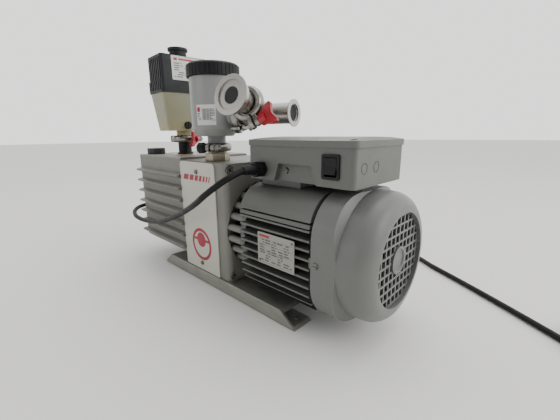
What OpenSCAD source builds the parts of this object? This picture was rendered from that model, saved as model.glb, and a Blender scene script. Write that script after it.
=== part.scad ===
// Two-stage oil-sealed rotary vane vacuum pump with its direct-drive motor,
// an inlet trap with a flanged tee and an exhaust mist filter.
// +X runs along the shaft towards the motor's fan, +Y is across, +Z is up.
// The origin is the centre of the four base fixing holes, on the floor.

/* [Base rails] */
// Distance between fixing holes along the pump
base_hole_x = 328; // [326:1:330]
// Distance between fixing holes across the pump
base_hole_y = 124; // [122:1:126]
// Radius of a fixing hole
base_hole_r = 4.5; // [4:0.5:5]
// How far a rail runs beyond its fixing hole under the motor
rail_near = 18; // [17:1:19]
// How far a rail runs beyond its fixing hole under the oil box
rail_far = 33; // [30:1:34]
// Width of a rail's flanges
rail_w = 40; // [39:1:42]
// Thickness of the rail's folded steel
rail_t = 4; // [3:0.5:4]
// How much shorter a rail is at its top, at each end
rail_slant = 28; // [26:1:28]

/* [Pump body] */
// Width of the pump body and oil box
body_w = 164; // [163:1:165]
// Height of the body's underside above the floor
body_z0 = 23; // [22:0.5:23]
// Height of the body's top above the floor
body_z1 = 228; // [228:1:230]
// Where the body meets the oil box
body_x0 = -106; // [-107:0.5:-106]
// Where the body meets the motor's spacer posts
body_x1 = 32; // [32:0.5:33]
// Height of the shaft's centre line
shaft_z = 113; // [112.5:0.5:113.5]

/* [Oil box] */
// Far end of the oil box
oil_x0 = -283; // [-285:0.5:-282]
// Underside of the oil box
oil_z0 = 41; // [40:0.5:41]
// Top of the oil box
oil_z1 = 232; // [231:0.5:233]
// Wall of the oil box
oil_wall = 6; // [5:0.5:6]
// Number of ribs down the oil box
rib_count = 7; // [5:1:7]
// Distance from one rib to the next
rib_pitch = 23.4; // [23:0.1:23.6]
// How far a rib stands out
rib_out = 9; // [6:0.5:9]

/* [Pumping stages] */
// Radius of a stator bore
bore_r = 48; // [48:0.5:48.5]
// Radius of a rotor
rotor_r = 38; // [37.5:0.5:38]
// Gap at the seal line between rotor and bore
seal_gap = 0.3; // [0.2:0.05:0.4]
// Length of the high-vacuum stage
hv_len = 80; // [79:0.5:80]
// Length of the low-vacuum stage
lv_len = 32; // [31:0.5:32]
// Thickness of the plates that close the stages
plate_t = 13; // [12:0.5:13]
// Thickness of a vane
vane_t = 8; // [7:0.5:8]
// Radius of the rotor's journals
journal_r = 12.5; // [12:0.5:12.5]
// Radial clearance of a journal in its bore
run_gap = 0.05; // [0.03:0.01:0.08]

/* [Motor] */
// Radius of the stator bore in the motor's frame
frame_bore_r = 62; // [61.5:0.5:62]
// Half width of the motor's fins
fin_half = 86; // [85:0.5:86]
// Distance from one fin to the next
fin_pitch = 13; // [12.8:0.1:13.1]
// Start of the motor's frame
frame_x0 = 70; // [70:0.5:70.5]
// End of the motor's frame
frame_x1 = 206; // [205.5:0.5:206]
// Outer radius of the fan cowl
cowl_r = 89; // [88:0.5:90]
// End of the fan cowl
cowl_x1 = 291; // [290:0.5:293]
// Radius of the cowl's grille
grille_r = 64; // [62:0.5:65]
// Distance from one grille bar to the next
grille_pitch = 12; // [11.6:0.1:12.4]
// Number of blades on the cooling fan
blade_count = 8; // [5:1:10]

/* [Terminal box] */
// Underside of the terminal box
box_z0 = 209; // [209:0.5:210]
// Height of the terminal box without its lid
box_h = 49; // [48:0.5:50]
// Start of the terminal box along the pump
box_x0 = 69; // [68:0.5:70]
// End of the terminal box along the pump
box_x1 = 253; // [252:0.5:255]
// Side of the terminal box with the switch
box_y0 = -63; // [-63:0.5:-62]
// Other side of the terminal box
box_y1 = 68; // [66:0.5:69]

/* [Inlet] */
// Outer radius of a small vacuum flange
kf_r = 20; // [19.9:0.1:20]
// Outer radius of its tube
kf_tube_r = 15.5; // [15:0.1:15.5]
// Bore radius of its tube
kf_bore_r = 12.4; // [12:0.1:12.5]
// Outer radius of the large vacuum flange
kf40_r = 27.5; // [27.3:0.1:27.5]
// Radius of the trap's body
trap_r = 41; // [40:0.5:42]
// Height of the trap's bottom flange
trap_z0 = 252; // [252:0.5:253]
// Height of the trap's shoulder under its cap
trap_z1 = 366; // [364:0.5:368]
// Turn of the tee's run from the pump's length
run_angle = 12.4; // [12:0.1:13]
// Tilt of the tee's branch above level
branch_tilt = 13.7; // [13:0.1:15]
// Length of one arm of the tee
tee_arm = 50; // [50:0.5:51]

/* [Mist filter] */
// Half width of the filter across its label
filter_half_w = 54; // [52:0.5:56]
// Half depth of the filter
filter_half_d = 36; // [35:0.5:38]
// Turn of the filter on its flange
filter_turn = -4.5; // [-6:0.5:-3]

/* [Cord] */
// Diameter of the mains cord
cord_d = 9; // [8.5:0.5:9]
// Mean radius of the stored coil
coil_r = 45; // [44:1:46]

/* [Hidden] */
$fn = 64;
eps = 0.01;

half_w = body_w / 2;
// Rails
rail_y = half_w + 4;
rail_x = [-base_hole_x / 2 - rail_far, base_hole_x / 2 + rail_near];
rail_screw_x = [-80, 10];
rail_screw_y = 66;
// Screws that hold the castings together
screw_r = 4;
screw_head_r = 6.5;
screw_head_h = 8;
corner_screw_y = 72;
corner_screw_z = [34, 218];
// Ring of posts between body and motor
post_count = 24;
post_ring_r = 74;
post_r = 6;
post_recess = 6;
shield_x0 = body_x1 + 27;
chamber_r = 62;
chamber_x0 = -60;
// Ports in the body's top
inlet_x = -36;
inlet_y = -46;
inlet_cross_z = 180;
outlet_x = -202;
outlet_y = -14;
filler_x = -263;
filler_y = -52;
filler_stub_r = 13;
outlet_r = 14;
ballast_x = -80;
ballast_z = 196;
ballast_stem_r = 9.3;
// Oil box end fittings
oil_chamfer = 6;
end_boss_x = oil_x0 - 19;
sight_y = -14;
sight_z = 78;
sight_r = 15;
drain_y = 34;
drain_z = 62;
drain_r = 8;
// Stages: the bores hang below the shaft so that rotor and bore meet at the top
bore_drop = bore_r - rotor_r - seal_gap;
bore_z = shaft_z - bore_drop;
hv_x0 = body_x0 - hv_len;
lv_x1 = hv_x0 - plate_t;
lv_x0 = lv_x1 - lv_len;
end_x0 = lv_x0 - plate_t;
end_gap = 0.2;
stage_half = 62;
stage_z0 = 48;
stage_z1 = 178;
stage_bolt_y = 53;
stage_bolt_z = [58, 168];
slot_gap = 0.1;
vane_root = 11;
vane_tip = rotor_r - 0.2;
// Shaft line
coupling_x = -20;
coupling_r = 30;
front_bearing = [61, 76];
rear_bearing = [192, 206];
core_x = [92, 172];
// Cowl
cowl_x0 = 211;
cowl_wall = 2;
cowl_lug_angles = [0, 90, 180, 270];
cowl_screw_x = cowl_x0 + 8;
cowl_skirt_x1 = 248;
grille_x = cowl_x1 - 5;
// Terminal box
box_wall = 3;
box_top = box_z0 + box_h;
box_mid_y = (box_y0 + box_y1) / 2;
lid_h = 12;
switch_x = [207, 233];
switch_z = [219, 250];
rocker_half = 8.6;
rocker_pin_r = 1.5;
gland_x = 98;
gland_z = 224;
gland_tip = -100;
lid_screw_inset = 9;
lid_screw_x = [box_x0 + lid_screw_inset, box_x1 - lid_screw_inset];
lid_screw_y = [box_y0 + lid_screw_inset, box_y1 - lid_screw_inset];
// Small parts on the side plates and the motor
plate_gap = 1;
plate_thick = 2;
plate_screw_x = -50;
plate_screw_z = [38, 210];
tag_x = [111, 182];
tag_z = [88, 136];
tag_t = 1.2;
// Trap, tee and clamps
port_z = 304.4;
port_len = 57;
trap_foot_z = 271;
branch_end = 90;
// Filter heights
filter_flange_z = 265;
bowl_z = [282, 356];
band_z = 379;
cover_z = 426;
// Distance of a clamp's grip screw from the flange axis, and each clamp's turn about it
grip_r = 34;
inlet_clamp_turn = -55;
port_clamp_turn = 150;
branch_clamp_turn = -58;
outlet_clamp_turn = 32;

// ---------- helpers ----------

// Cylinder on the shaft's centre line from x0 to x1
module shaft_cylinder(x0, x1, r) {
    translate([x0, 0, shaft_z]) rotate([0, 90, 0]) cylinder(h = x1 - x0, r = r);
}

// Lathed shape on the shaft's centre line, from points [radius, x]
module shaft_lathe(points) {
    translate([0, 0, shaft_z]) rotate([0, 90, 0]) rotate_extrude() polygon(points);
}

// Outline in Y and Z pushed along X from x0 to x1
module along_x(x0, x1) {
    translate([x0, 0, 0]) rotate([90, 0, 90]) linear_extrude(x1 - x0) children();
}

// Outline in X and Z pushed along Y from y0 to y1
module along_y(y0, y1) {
    translate([0, y1, 0]) rotate([90, 0, 0]) linear_extrude(y1 - y0) children();
}

// Flat rectangle with round corners
module rounded_rect(x0, x1, y0, y1, r) {
    translate([x0 + r, y0]) square([x1 - x0 - 2 * r, y1 - y0]);
    translate([x0, y0 + r]) square([x1 - x0, y1 - y0 - 2 * r]);
    for (x = [x0 + r, x1 - r], y = [y0 + r, y1 - r]) translate([x, y]) circle(r);
}

// Socket-head screw pointing down, its head's underside at the origin
module socket_screw(length, r = screw_r, head_r = screw_head_r, head_h = screw_head_h) {
    difference() {
        union() {
            cylinder(h = head_h, r = head_r);
            translate([0, 0, -length]) cylinder(h = length, r = r);
        }
        translate([0, 0, head_h / 2]) cylinder(h = head_h, r = r * 0.8, $fn = 6);
    }
}

// Pan-head screw pointing down, with a slot
module pan_screw(length, r = 2.3, head_r = 4.5) {
    difference() {
        union() {
            cylinder(h = 2.4, r1 = head_r, r2 = head_r * 0.75);
            translate([0, 0, -length]) cylinder(h = length, r = r);
        }
        translate([-head_r, -0.5, 1.4]) cube([2 * head_r, 1, 2]);
    }
}

// Puts its children at the trap's axis with +X along the tee's run
module at_run() {
    translate([inlet_x, inlet_y, port_z]) rotate([0, 0, run_angle]) children();
}

// Puts its children at the tee's centre with +Z along the tee's branch
module at_branch() {
    at_run() translate([port_len + tee_arm, 0, 0]) rotate([90 - branch_tilt, 0, 0]) children();
}

// Flange disc with a tapered back, its face at z = 0 and its neck towards +Z
module flange(r, neck_r) {
    cylinder(h = 1.6, r = r);
    translate([0, 0, 1.6]) cylinder(h = 1.4, r1 = r, r2 = r - 3);
    cylinder(h = 8, r = neck_r);
}

// Recess for a centring ring, sunk from z = 0 towards +Z
module flange_recess(r = 13.1) {
    translate([0, 0, -eps]) cylinder(h = 2.5 + eps, r = r);
}

/* ---------- base and pump body ---------- */

module rail() {
    difference() {
        along_y(-rail_y, -rail_y + rail_w) polygon([
            [rail_x[0], 0], [rail_x[1], 0],
            [rail_x[1] - rail_slant, body_z0], [rail_x[0] + rail_slant, body_z0]
        ]);
        translate([rail_x[0] - 1, -rail_y + rail_t, rail_t])
            cube([rail_x[1] - rail_x[0] + 2, rail_w, body_z0 - 2 * rail_t]);
        for (x = [-1, 1] * base_hole_x / 2)
            translate([x, -base_hole_y / 2, -1]) cylinder(h = rail_t + 2, r = base_hole_r);
        for (x = rail_screw_x)
            translate([x, -rail_screw_y, body_z0 - rail_t - 1]) cylinder(h = rail_t + 2, r = screw_r + 0.3);
    }
}

module base_rails() {
    color("gray") {
        rail();
        mirror([0, 1, 0]) rail();
    }
}

module body_block() {
    translate([0, 0, body_z0]) linear_extrude(body_z1 - body_z0) {
        rounded_rect(body_x0, body_x1, -half_w, half_w, 9);
        translate([body_x0, -half_w]) square([30, body_w]);
    }
}

// Posts that carry the motor, standing on the floor of a round recess
module posts() {
    x0 = body_x1 - post_recess - 1;
    for (i = [0:post_count - 1]) translate([x0, 0, shaft_z])
        rotate([(i + 0.5) * 360 / post_count, 0, 0]) translate([0, post_ring_r, 0])
            rotate([0, 90, 0]) cylinder(h = shield_x0 - x0, r = post_r);
}

module pump_body() {
    color("silver") difference() {
        body_block();
        shaft_cylinder(chamber_x0, body_x1 + 1, chamber_r);
        shaft_cylinder(body_x1 - post_recess, body_x1 + 1, half_w - 1.5);
        shaft_cylinder(body_x0 - 1, chamber_x0 + 1, journal_r + run_gap);
        shaft_cylinder(-74, chamber_x0 + 1, 20);
        // Inlet passage down from the port and across to the first stage
        translate([inlet_x, inlet_y, inlet_cross_z]) cylinder(h = 60, r = 11);
        translate([inlet_x, inlet_y, body_z1 - 12]) cylinder(h = 13, r = 13);
        translate([body_x0 - 1, inlet_y, inlet_cross_z]) rotate([0, 90, 0])
            cylinder(h = inlet_x - body_x0 + 1, r = 11);
        // Gas ballast port on the far side
        translate([ballast_x, half_w - 12, ballast_z]) rotate([-90, 0, 0])
            cylinder(h = 13, r = ballast_stem_r + 0.1);
        for (y = [-1, 1] * corner_screw_y, z = corner_screw_z)
            translate([body_x1, y, z]) rotate([0, 90, 0]) {
                translate([0, 0, -screw_head_h - 1]) cylinder(h = screw_head_h + 2, r = screw_head_r + 1);
                translate([0, 0, -40]) cylinder(h = 41, r = screw_r + 0.1);
            }
        for (y = [-1, 1] * stage_bolt_y, z = stage_bolt_z)
            translate([body_x0 - 1, y, z]) rotate([0, 90, 0]) cylinder(h = 17, r = screw_r + 0.1);
        for (x = rail_screw_x, y = [-1, 1] * rail_screw_y)
            translate([x, y, body_z0 - 1]) cylinder(h = 15, r = screw_r + 0.1);
        for (y = [-half_w, half_w], z = plate_screw_z)
            translate([plate_screw_x, y, z]) rotate([90, 0, 0]) cylinder(h = 20, r = 2.4, center = true);
    }
    color("silver") posts();
}

module side_plate() {
    difference() {
        along_y(-half_w - plate_thick, -half_w) {
            rounded_rect(body_x0 + plate_gap, 4, body_z0 + 60, body_z1 - plate_gap, 8);
            translate([body_x0 + plate_gap, body_z0 + plate_gap])
                square([4 - body_x0 - plate_gap, 100]);
        }
        for (z = plate_screw_z) translate([plate_screw_x, -half_w, z]) rotate([90, 0, 0])
            cylinder(h = 10, r = 2.4, center = true);
    }
}

module side_plates() {
    color("whitesmoke") {
        side_plate();
        difference() {
            mirror([0, 1, 0]) side_plate();
            translate([ballast_x, half_w - 1, ballast_z]) rotate([-90, 0, 0])
                cylinder(h = 5, r = ballast_stem_r + 0.7);
        }
    }
}

/* ---------- oil box and its fittings ---------- */

// Height of the middle of a rib, counted from the bottom
function rib_z(i) = oil_z0 + 16.5 + i * rib_pitch;

// One rib as [outwards, upwards], from its lower root to its upper root
rib_tooth = [[0, -5], [rib_out, -1.2], [rib_out, 1.2], [0, 5]];

// One side of the ribbed outline, from the bottom to the top
function ribbed_side(face) = [
    for (i = [0:rib_count - 1], p = rib_tooth) [face + sign(face) * p[0], rib_z(i) + p[1]]
];

function reversed(list) = [for (i = [len(list) - 1:-1:0]) list[i]];

module ribbed_block() {
    intersection() {
        along_x(oil_x0 - rib_out, body_x0) polygon(concat(
            [[-half_w + oil_chamfer, oil_z0], [half_w - oil_chamfer, oil_z0], [half_w, oil_z0 + oil_chamfer]],
            ribbed_side(half_w),
            [[half_w, oil_z1 - 2], [half_w - 2, oil_z1], [2 - half_w, oil_z1], [-half_w, oil_z1 - 2]],
            reversed(ribbed_side(-half_w)), [[-half_w, oil_z0 + oil_chamfer]]
        ));
        along_y(-half_w - rib_out, half_w + rib_out) polygon(concat(
            [[body_x0, oil_z0], [body_x0, oil_z1], [oil_x0 + 2, oil_z1], [oil_x0, oil_z1 - 2]],
            reversed(ribbed_side(oil_x0)), [[oil_x0, oil_z0 + oil_chamfer], [oil_x0 + oil_chamfer, oil_z0]]
        ));
        linear_extrude(oil_z1 + 1)
            rounded_rect(oil_x0 - rib_out, body_x0 + 30, -half_w - rib_out, half_w + rib_out, 5);
    }
}

// Moves its children to a fitting on the oil box's end, with +Z pointing into the box
module at_end_fitting(y, z) {
    translate([end_boss_x, y, z]) rotate([0, 90, 0]) children();
}

module oil_box() {
    color("darkgray") difference() {
        union() {
            ribbed_block();
            at_end_fitting(sight_y, sight_z) cylinder(h = 21, r = sight_r + 7);
            at_end_fitting(drain_y, drain_z) cylinder(h = 21, r = drain_r + 6);
        }
        translate([oil_x0 + oil_wall, -half_w + oil_wall, oil_z0 + oil_wall])
            cube([body_x0 - oil_x0 - oil_wall + 1, body_w - 2 * oil_wall, oil_z1 - oil_z0 - 2 * oil_wall]);
        at_end_fitting(sight_y, sight_z) translate([0, 0, -1]) cylinder(h = 30, r = sight_r - 3);
        at_end_fitting(sight_y, sight_z) translate([0, 0, -1]) cylinder(h = 8, r = sight_r);
        at_end_fitting(drain_y, drain_z) translate([0, 0, -1]) cylinder(h = 30, r = drain_r + 0.3);
        translate([filler_x, filler_y, oil_z1 - 10]) cylinder(h = 11, r = filler_stub_r + 0.3);
        translate([outlet_x, outlet_y, oil_z1 - 10]) cylinder(h = 11, r = outlet_r + 0.1);
    }
}

module sight_glass() {
    color("lightcyan") at_end_fitting(sight_y, sight_z) translate([0, 0, 0.5])
        cylinder(h = 6, r = sight_r - 0.1);
}

module drain_plug() {
    color("goldenrod") at_end_fitting(drain_y, drain_z) {
        translate([0, 0, -8.3]) cylinder(h = 8, r = 12.5, $fn = 6);
        translate([0, 0, -1]) cylinder(h = 15, r = drain_r);
    }
}

module filler_cap() {
    color("darkslategray") translate([filler_x, filler_y, oil_z1]) difference() {
        union() {
            translate([0, 0, 0.2]) cylinder(h = 12.5, r = 19);
            translate([0, 0, -9]) cylinder(h = 10, r = filler_stub_r);
        }
        for (a = [0:30:330]) rotate([0, 0, a]) translate([20, 0, -1]) cylinder(h = 16, r = 2);
    }
}

module gas_ballast_knob() {
    color("black") translate([ballast_x, half_w, ballast_z]) rotate([-90, 0, 0]) difference() {
        union() {
            translate([0, 0, 2.3]) cylinder(h = 16, r = 17);
            translate([0, 0, -10]) cylinder(h = 14, r = ballast_stem_r);
        }
        for (a = [0:45:315]) rotate([0, 0, a]) translate([19.5, 0, 1]) cylinder(h = 20, r = 5);
    }
}

/* ---------- pumping stages ---------- */

module stage_outline() {
    difference() {
        rounded_rect(-stage_half, stage_half, stage_z0, stage_z1, 12);
        for (y = [-1, 1] * stage_bolt_y, z = stage_bolt_z) translate([y, z]) circle(screw_r + 0.2);
    }
}

module hv_stator() {
    color("dimgray") difference() {
        along_x(hv_x0, body_x0) difference() {
            stage_outline();
            translate([0, bore_z]) circle(bore_r);
        }
        // Inlet gallery and its port into the bore
        translate([body_x0 - 30, inlet_y, inlet_cross_z]) rotate([0, 90, 0]) cylinder(h = 31, r = 10);
        translate([body_x0 - 20, -24, bore_z + 30]) rotate([38, 0, 0]) cylinder(h = 60, r = 8);
    }
}

module lv_stator() {
    color("dimgray") difference() {
        along_x(lv_x0, lv_x1) difference() {
            stage_outline();
            translate([0, bore_z]) circle(bore_r);
        }
        for (y = [16, 30]) translate([(lv_x0 + lv_x1) / 2, y, bore_z + 20]) cylinder(h = 80, r = 4);
    }
}

// Plate that closes a stage and carries the rotors' journals
module stage_plate(x0) {
    difference() {
        along_x(x0, x0 + plate_t) stage_outline();
        shaft_cylinder(x0 - 1, x0 + plate_t + 1, journal_r + run_gap);
    }
}

module intermediate_plate() {
    color("gray") stage_plate(lv_x1);
}

module end_plate() {
    color("gray") stage_plate(end_x0);
}

module exhaust_valve() {
    color("steelblue") translate([(lv_x0 + lv_x1) / 2 - 7, 8, stage_z1]) {
        cube([14, 30, 1]);
        translate([0, 0, 1]) cube([14, 8, 4]);
        translate([0, 0, 5]) cube([14, 30, 1.5]);
    }
}

module shaft_seal() {
    color("black") shaft_lathe([
        [journal_r + run_gap, -74], [20, -74], [20, -64], [18, -64],
        [18, -72], [journal_r + 3, -72], [journal_r + 3, -66], [journal_r + run_gap, -66]
    ]);
}

// Two slots for the vanes and the spring holes between them
module vane_slots(x0, x1, spring_x) {
    slot_t = vane_t + 2 * slot_gap;
    for (side = [0, 180]) translate([0, 0, shaft_z]) rotate([side, 0, 0])
        translate([x0, vane_root - 1, -slot_t / 2]) cube([x1 - x0, rotor_r, slot_t]);
    for (x = spring_x) translate([x, 0, shaft_z]) rotate([90, 0, 0])
        cylinder(h = 2 * vane_root, r = 3, center = true);
}

hv_spring_x = [for (i = [-1:1]) body_x0 - hv_len / 2 + i * 25];
lv_spring_x = [(lv_x0 + lv_x1) / 2];

module hv_rotor() {
    x0 = hv_x0 + end_gap;
    x1 = body_x0 - end_gap;
    color("slategray") difference() {
        union() {
            shaft_cylinder(x0, x1, rotor_r);
            shaft_cylinder(hv_x0 - plate_t / 2, coupling_x - 6, journal_r);
        }
        vane_slots(x0 - eps, x1 + eps, hv_spring_x);
    }
}

module lv_rotor() {
    x0 = lv_x0 + end_gap;
    x1 = lv_x1 - end_gap;
    color("slategray") difference() {
        union() {
            shaft_cylinder(x0, x1, rotor_r);
            shaft_cylinder(end_x0 + 1, lv_x1 + plate_t / 2, journal_r);
        }
        vane_slots(x0 - eps, x1 + eps, lv_spring_x);
    }
}

// Vane at rest in its slot, on the side that turn says
module vane(x0, x1, turn) {
    translate([0, 0, shaft_z]) rotate([turn, 0, 0])
        translate([x0 + end_gap * 2, vane_root, -vane_t / 2])
            cube([x1 - x0 - 4 * end_gap, vane_tip - vane_root, vane_t]);
}

module hv_vane_a() {
    color("peru") vane(hv_x0, body_x0, 180);
}

module hv_vane_b() {
    color("peru") vane(hv_x0, body_x0, 0);
}

module lv_vane_a() {
    color("peru") vane(lv_x0, lv_x1, 180);
}

module lv_vane_b() {
    color("peru") vane(lv_x0, lv_x1, 0);
}

// Points and faces of a tube of n sides along a list of centres
function unit(v) = v / norm(v);
function tangent(p, i) = unit(p[min(i + 1, len(p) - 1)] - p[max(i - 1, 0)]);
function tube_ring(c, t, up, r, n) = let (u = unit(cross(t, up)), w = cross(t, u))
    [for (k = [0:n - 1]) c + r * (cos(360 * k / n) * u + sin(360 * k / n) * w)];
function tube_points(p, up, r, n) = [
    for (i = [0:len(p) - 1]) each tube_ring(p[i], tangent(p, i), up, r, n)
];
function tube_faces(m, n) = concat(
    [[for (k = [0:n - 1]) k]], [[for (k = [n - 1:-1:0]) (m - 1) * n + k]],
    [for (i = [0:m - 2], k = [0:n - 1]) [i * n + k, (i + 1) * n + k, (i + 1) * n + (k + 1) % n]],
    [for (i = [0:m - 2], k = [0:n - 1]) [i * n + k, (i + 1) * n + (k + 1) % n, i * n + (k + 1) % n]]
);

module tube(p, r, n, up) {
    polyhedron(tube_points(p, up, r, n), tube_faces(len(p), n));
}

// Coil spring on the Y axis between the inner edges of two vanes
module vane_spring() {
    wire_r = 0.35;
    turns = 6;
    steps = 10;
    reach = vane_root - wire_r - 0.3;
    tube([for (i = [0:turns * steps]) let (a = i * 360 / steps)
        [2.2 * cos(a), -reach + 2 * reach * i / (turns * steps), 2.2 * sin(a)]], wire_r, 5, [0, 1, 0]);
}

module vane_springs() {
    color("lightgray") for (x = concat(hv_spring_x, lv_spring_x))
        translate([x, 0, shaft_z]) vane_spring();
}

/* ---------- coupling and motor ---------- */

// Wedge of a disc from angle a0 to a1, less than a half turn
module wedge(r, a0, a1) {
    polygon([[0, 0], [2 * r * cos(a0), 2 * r * sin(a0)],
        [2 * r * cos((a0 + a1) / 2), 2 * r * sin((a0 + a1) / 2)], [2 * r * cos(a1), 2 * r * sin(a1)]]);
}

// Hub with three jaws that reach towards +X from its disc
module coupling_hub() {
    jaw_half = 21;
    along_x(-22, -6) difference() {
        circle(coupling_r);
        circle(journal_r);
    }
    for (a = [0, 120, 240]) along_x(-9, 6) intersection() {
        difference() {
            circle(coupling_r - 0.5);
            circle(15);
        }
        wedge(coupling_r, a - jaw_half, a + jaw_half);
    }
}

module coupling_hubs() {
    color("darkgray") translate([coupling_x, 0, shaft_z]) {
        coupling_hub();
        rotate([60, 0, 0]) mirror([1, 0, 0]) coupling_hub();
    }
}

module coupling_spider() {
    arm_half = 8;
    color("darkred") translate([coupling_x, 0, shaft_z]) along_x(-5.5, 5.5) {
        difference() {
            circle(14.8);
            circle(8);
        }
        for (a = [30:60:330]) intersection() {
            difference() {
                circle(coupling_r - 1.5);
                circle(14);
            }
            wedge(coupling_r, a - arm_half, a + arm_half);
        }
    }
}

module motor_shaft() {
    color("lightsteelblue") {
        shaft_lathe([
            [0, coupling_x + 6], [journal_r, coupling_x + 6],
            [journal_r, front_bearing[1] + 0.5], [15, front_bearing[1] + 0.5],
            [15, 191.5], [10, 191.5], [10, 207], [9, 207], [9, 250], [0, 250]
        ]);
    }
}

module rotor_core() {
    color("silver") {
        shaft_lathe([[15, core_x[0]], [40, core_x[0]], [40, core_x[1]], [15, core_x[1]]]);
        for (x = [core_x[0] - 7, core_x[1]]) shaft_lathe([[26, x], [39, x], [39, x + 7], [26, x + 7]]);
    }
}

module stator_core() {
    color("slategray") shaft_lathe([
        [40.6, core_x[0]], [frame_bore_r, core_x[0]], [frame_bore_r, core_x[1]], [40.6, core_x[1]]
    ]);
}

module stator_windings() {
    color("chocolate") for (x = [core_x[0] - 9, core_x[1] + 9])
        translate([x, 0, shaft_z]) rotate([0, 90, 0]) rotate_extrude()
            translate([50, 0]) rounded_rect(-7, 7, -8.9, 8.9, 5);
}

// Ball bearing between x0 and x1, bored with running clearance for its seat
module bearing(x0, x1, seat_r, outer_r) {
    mid_r = (seat_r + outer_r) / 2;
    ball_r = (outer_r - seat_r) * 0.29;
    step = ball_r * 0.55;
    mid_x = (x0 + x1) / 2;
    difference() {
        union() {
            shaft_lathe([
                [seat_r + run_gap, x0], [mid_r - step, x0], [mid_r - step, x1], [seat_r + run_gap, x1]
            ]);
            shaft_lathe([[mid_r + step, x0], [outer_r, x0], [outer_r, x1], [mid_r + step, x1]]);
        }
        translate([mid_x, 0, shaft_z]) rotate([0, 90, 0]) rotate_extrude()
            translate([mid_r, 0]) circle(ball_r + 0.1);
    }
    for (a = [0:40:320]) translate([mid_x, 0, shaft_z]) rotate([a, 0, 0])
        translate([0, mid_r, 0]) sphere(ball_r);
}

module motor_bearings() {
    color("lightgray") {
        bearing(front_bearing[0], front_bearing[1], journal_r, 26);
        bearing(rear_bearing[0], rear_bearing[1], 10, 23.5);
    }
}

module cooling_fan() {
    color("dimgray") {
        shaft_lathe([[9, 222], [16, 222], [16, 248], [9, 248]]);
        shaft_lathe([[15, 222], [60, 226], [60, 228], [15, 225]]);
        for (i = [0:blade_count - 1]) translate([0, 0, shaft_z]) rotate([i * 360 / blade_count, 0, 0])
            along_y(-1.2, 1.2) polygon([[224, 15], [226, 76], [262, 76], [262, 50], [246, 15]]);
    }
}

// Outline across the motor: finned sides with a smooth shoulder on top
module frame_outline() {
    circle(frame_bore_r + 5);
    intersection() {
        rounded_rect(-fin_half, fin_half, -fin_half, fin_half, 46);
        union() {
            for (k = [-6:3]) translate([-100, k * fin_pitch + 0.2]) square([200, 2.8]);
            // Thick bar under the smooth shoulder
            translate([-100, 44]) square([200, 5.5]);
            translate([-100, 52]) square([200, 60]);
        }
    }
}

module motor_frame() {
    color("darkgray") difference() {
        union() {
            translate([0, 0, shaft_z]) along_x(frame_x0, frame_x1) frame_outline();
            translate([80, -46, shaft_z + 60]) cube([78, 92, box_z0 - shaft_z - 60]);
        }
        shaft_cylinder(frame_x0 - 1, frame_x1 + 1, frame_bore_r);
        translate([90, -20, shaft_z + 50]) cube([40, 40, 60]);
    }
}

module drive_end_shield() {
    color("silver") difference() {
        union() {
            translate([0, 0, shaft_z]) along_x(shield_x0, frame_x0) {
                circle(post_ring_r + 3);
                for (i = [0:post_count - 1]) rotate((i + 0.5) * 360 / post_count)
                    translate([post_ring_r, 0]) circle(post_r);
            }
            shaft_cylinder(frame_x0, frame_x0 + 3.5, frame_bore_r - 0.1);
        }
        shaft_cylinder(frame_x0, frame_x0 + 9, frame_bore_r - 8);
        shaft_cylinder(front_bearing[0], frame_x0 + 9, 26);
        shaft_cylinder(shield_x0 - 1, frame_x0, 15.5);
        for (a = [45:90:315]) translate([shield_x0 - 1, 0, shaft_z]) rotate([a, 0, 0])
            translate([0, 50, 0]) rotate([0, 90, 0]) cylinder(h = 14, r = 6);
    }
    color("silver") difference() {
        shaft_cylinder(frame_x0 - eps, front_bearing[1] + 1, 32);
        shaft_cylinder(front_bearing[0], front_bearing[1], 26);
        shaft_cylinder(frame_x0 - 1, front_bearing[1] + 2, 22);
    }
}

module rear_end_shield() {
    color("silver") difference() {
        union() {
            shaft_cylinder(frame_x1, frame_x1 + 4, 80);
            shaft_cylinder(frame_x1 - 8, frame_x1, frame_bore_r - 0.1);
            intersection() {
                for (a = cowl_lug_angles) translate([0, 0, shaft_z]) rotate([a, 0, 0])
                    translate([frame_x1, 77.5, -7]) cube([18, 15, 14]);
                shaft_cylinder(frame_x1, frame_x1 + 18, cowl_r - cowl_wall);
            }
        }
        shaft_cylinder(frame_x1 - 9, frame_x1 - 1, frame_bore_r - 8);
        for (a = cowl_lug_angles) translate([cowl_screw_x, 0, shaft_z]) rotate([a - 90, 0, 0])
            translate([0, 0, 76]) cylinder(h = 16, r = 2.4);
        shaft_cylinder(frame_x1 - 10, frame_x1 + 5, 23.5);
    }
    color("silver") difference() {
        shaft_cylinder(frame_x1 - 14, frame_x1, 30);
        shaft_cylinder(frame_x1 - 15, frame_x1 + 1, 23.5);
    }
}

// Wall of the cowl's round part as [radius, x]: a straight side and a domed end
function cowl_dome(inset) = [for (a = [0:10:90])
    [grille_r + 2 + (cowl_r - grille_r - 2 - inset) * cos(a), cowl_x1 - 26 + (26 - inset) * sin(a)]];

function cowl_outer() = concat(
    [[cowl_r, cowl_x0 + 3]], cowl_dome(0), [[grille_r, cowl_x1], [grille_r, grille_x]]
);

function cowl_inner() = concat(
    [[grille_r, grille_x - cowl_wall]], reversed(cowl_dome(cowl_wall)), [[cowl_r - cowl_wall, cowl_x0 + 3]]
);

// Skirt around the frame's end, squarer than the round part, with a sloping step at its end
module cowl_skirt(inset) {
    half = cowl_r - inset;
    intersection() {
        translate([0, 0, shaft_z]) along_x(cowl_x0, cowl_skirt_x1)
            rounded_rect(-half, half, -half, half, 60 - inset);
        shaft_lathe([[0, cowl_x0 - 1], [110, cowl_x0 - 1], [110, cowl_skirt_x1 - 10 - inset],
            [half, cowl_skirt_x1 - inset], [0, cowl_skirt_x1 - inset]]);
    }
}

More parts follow.
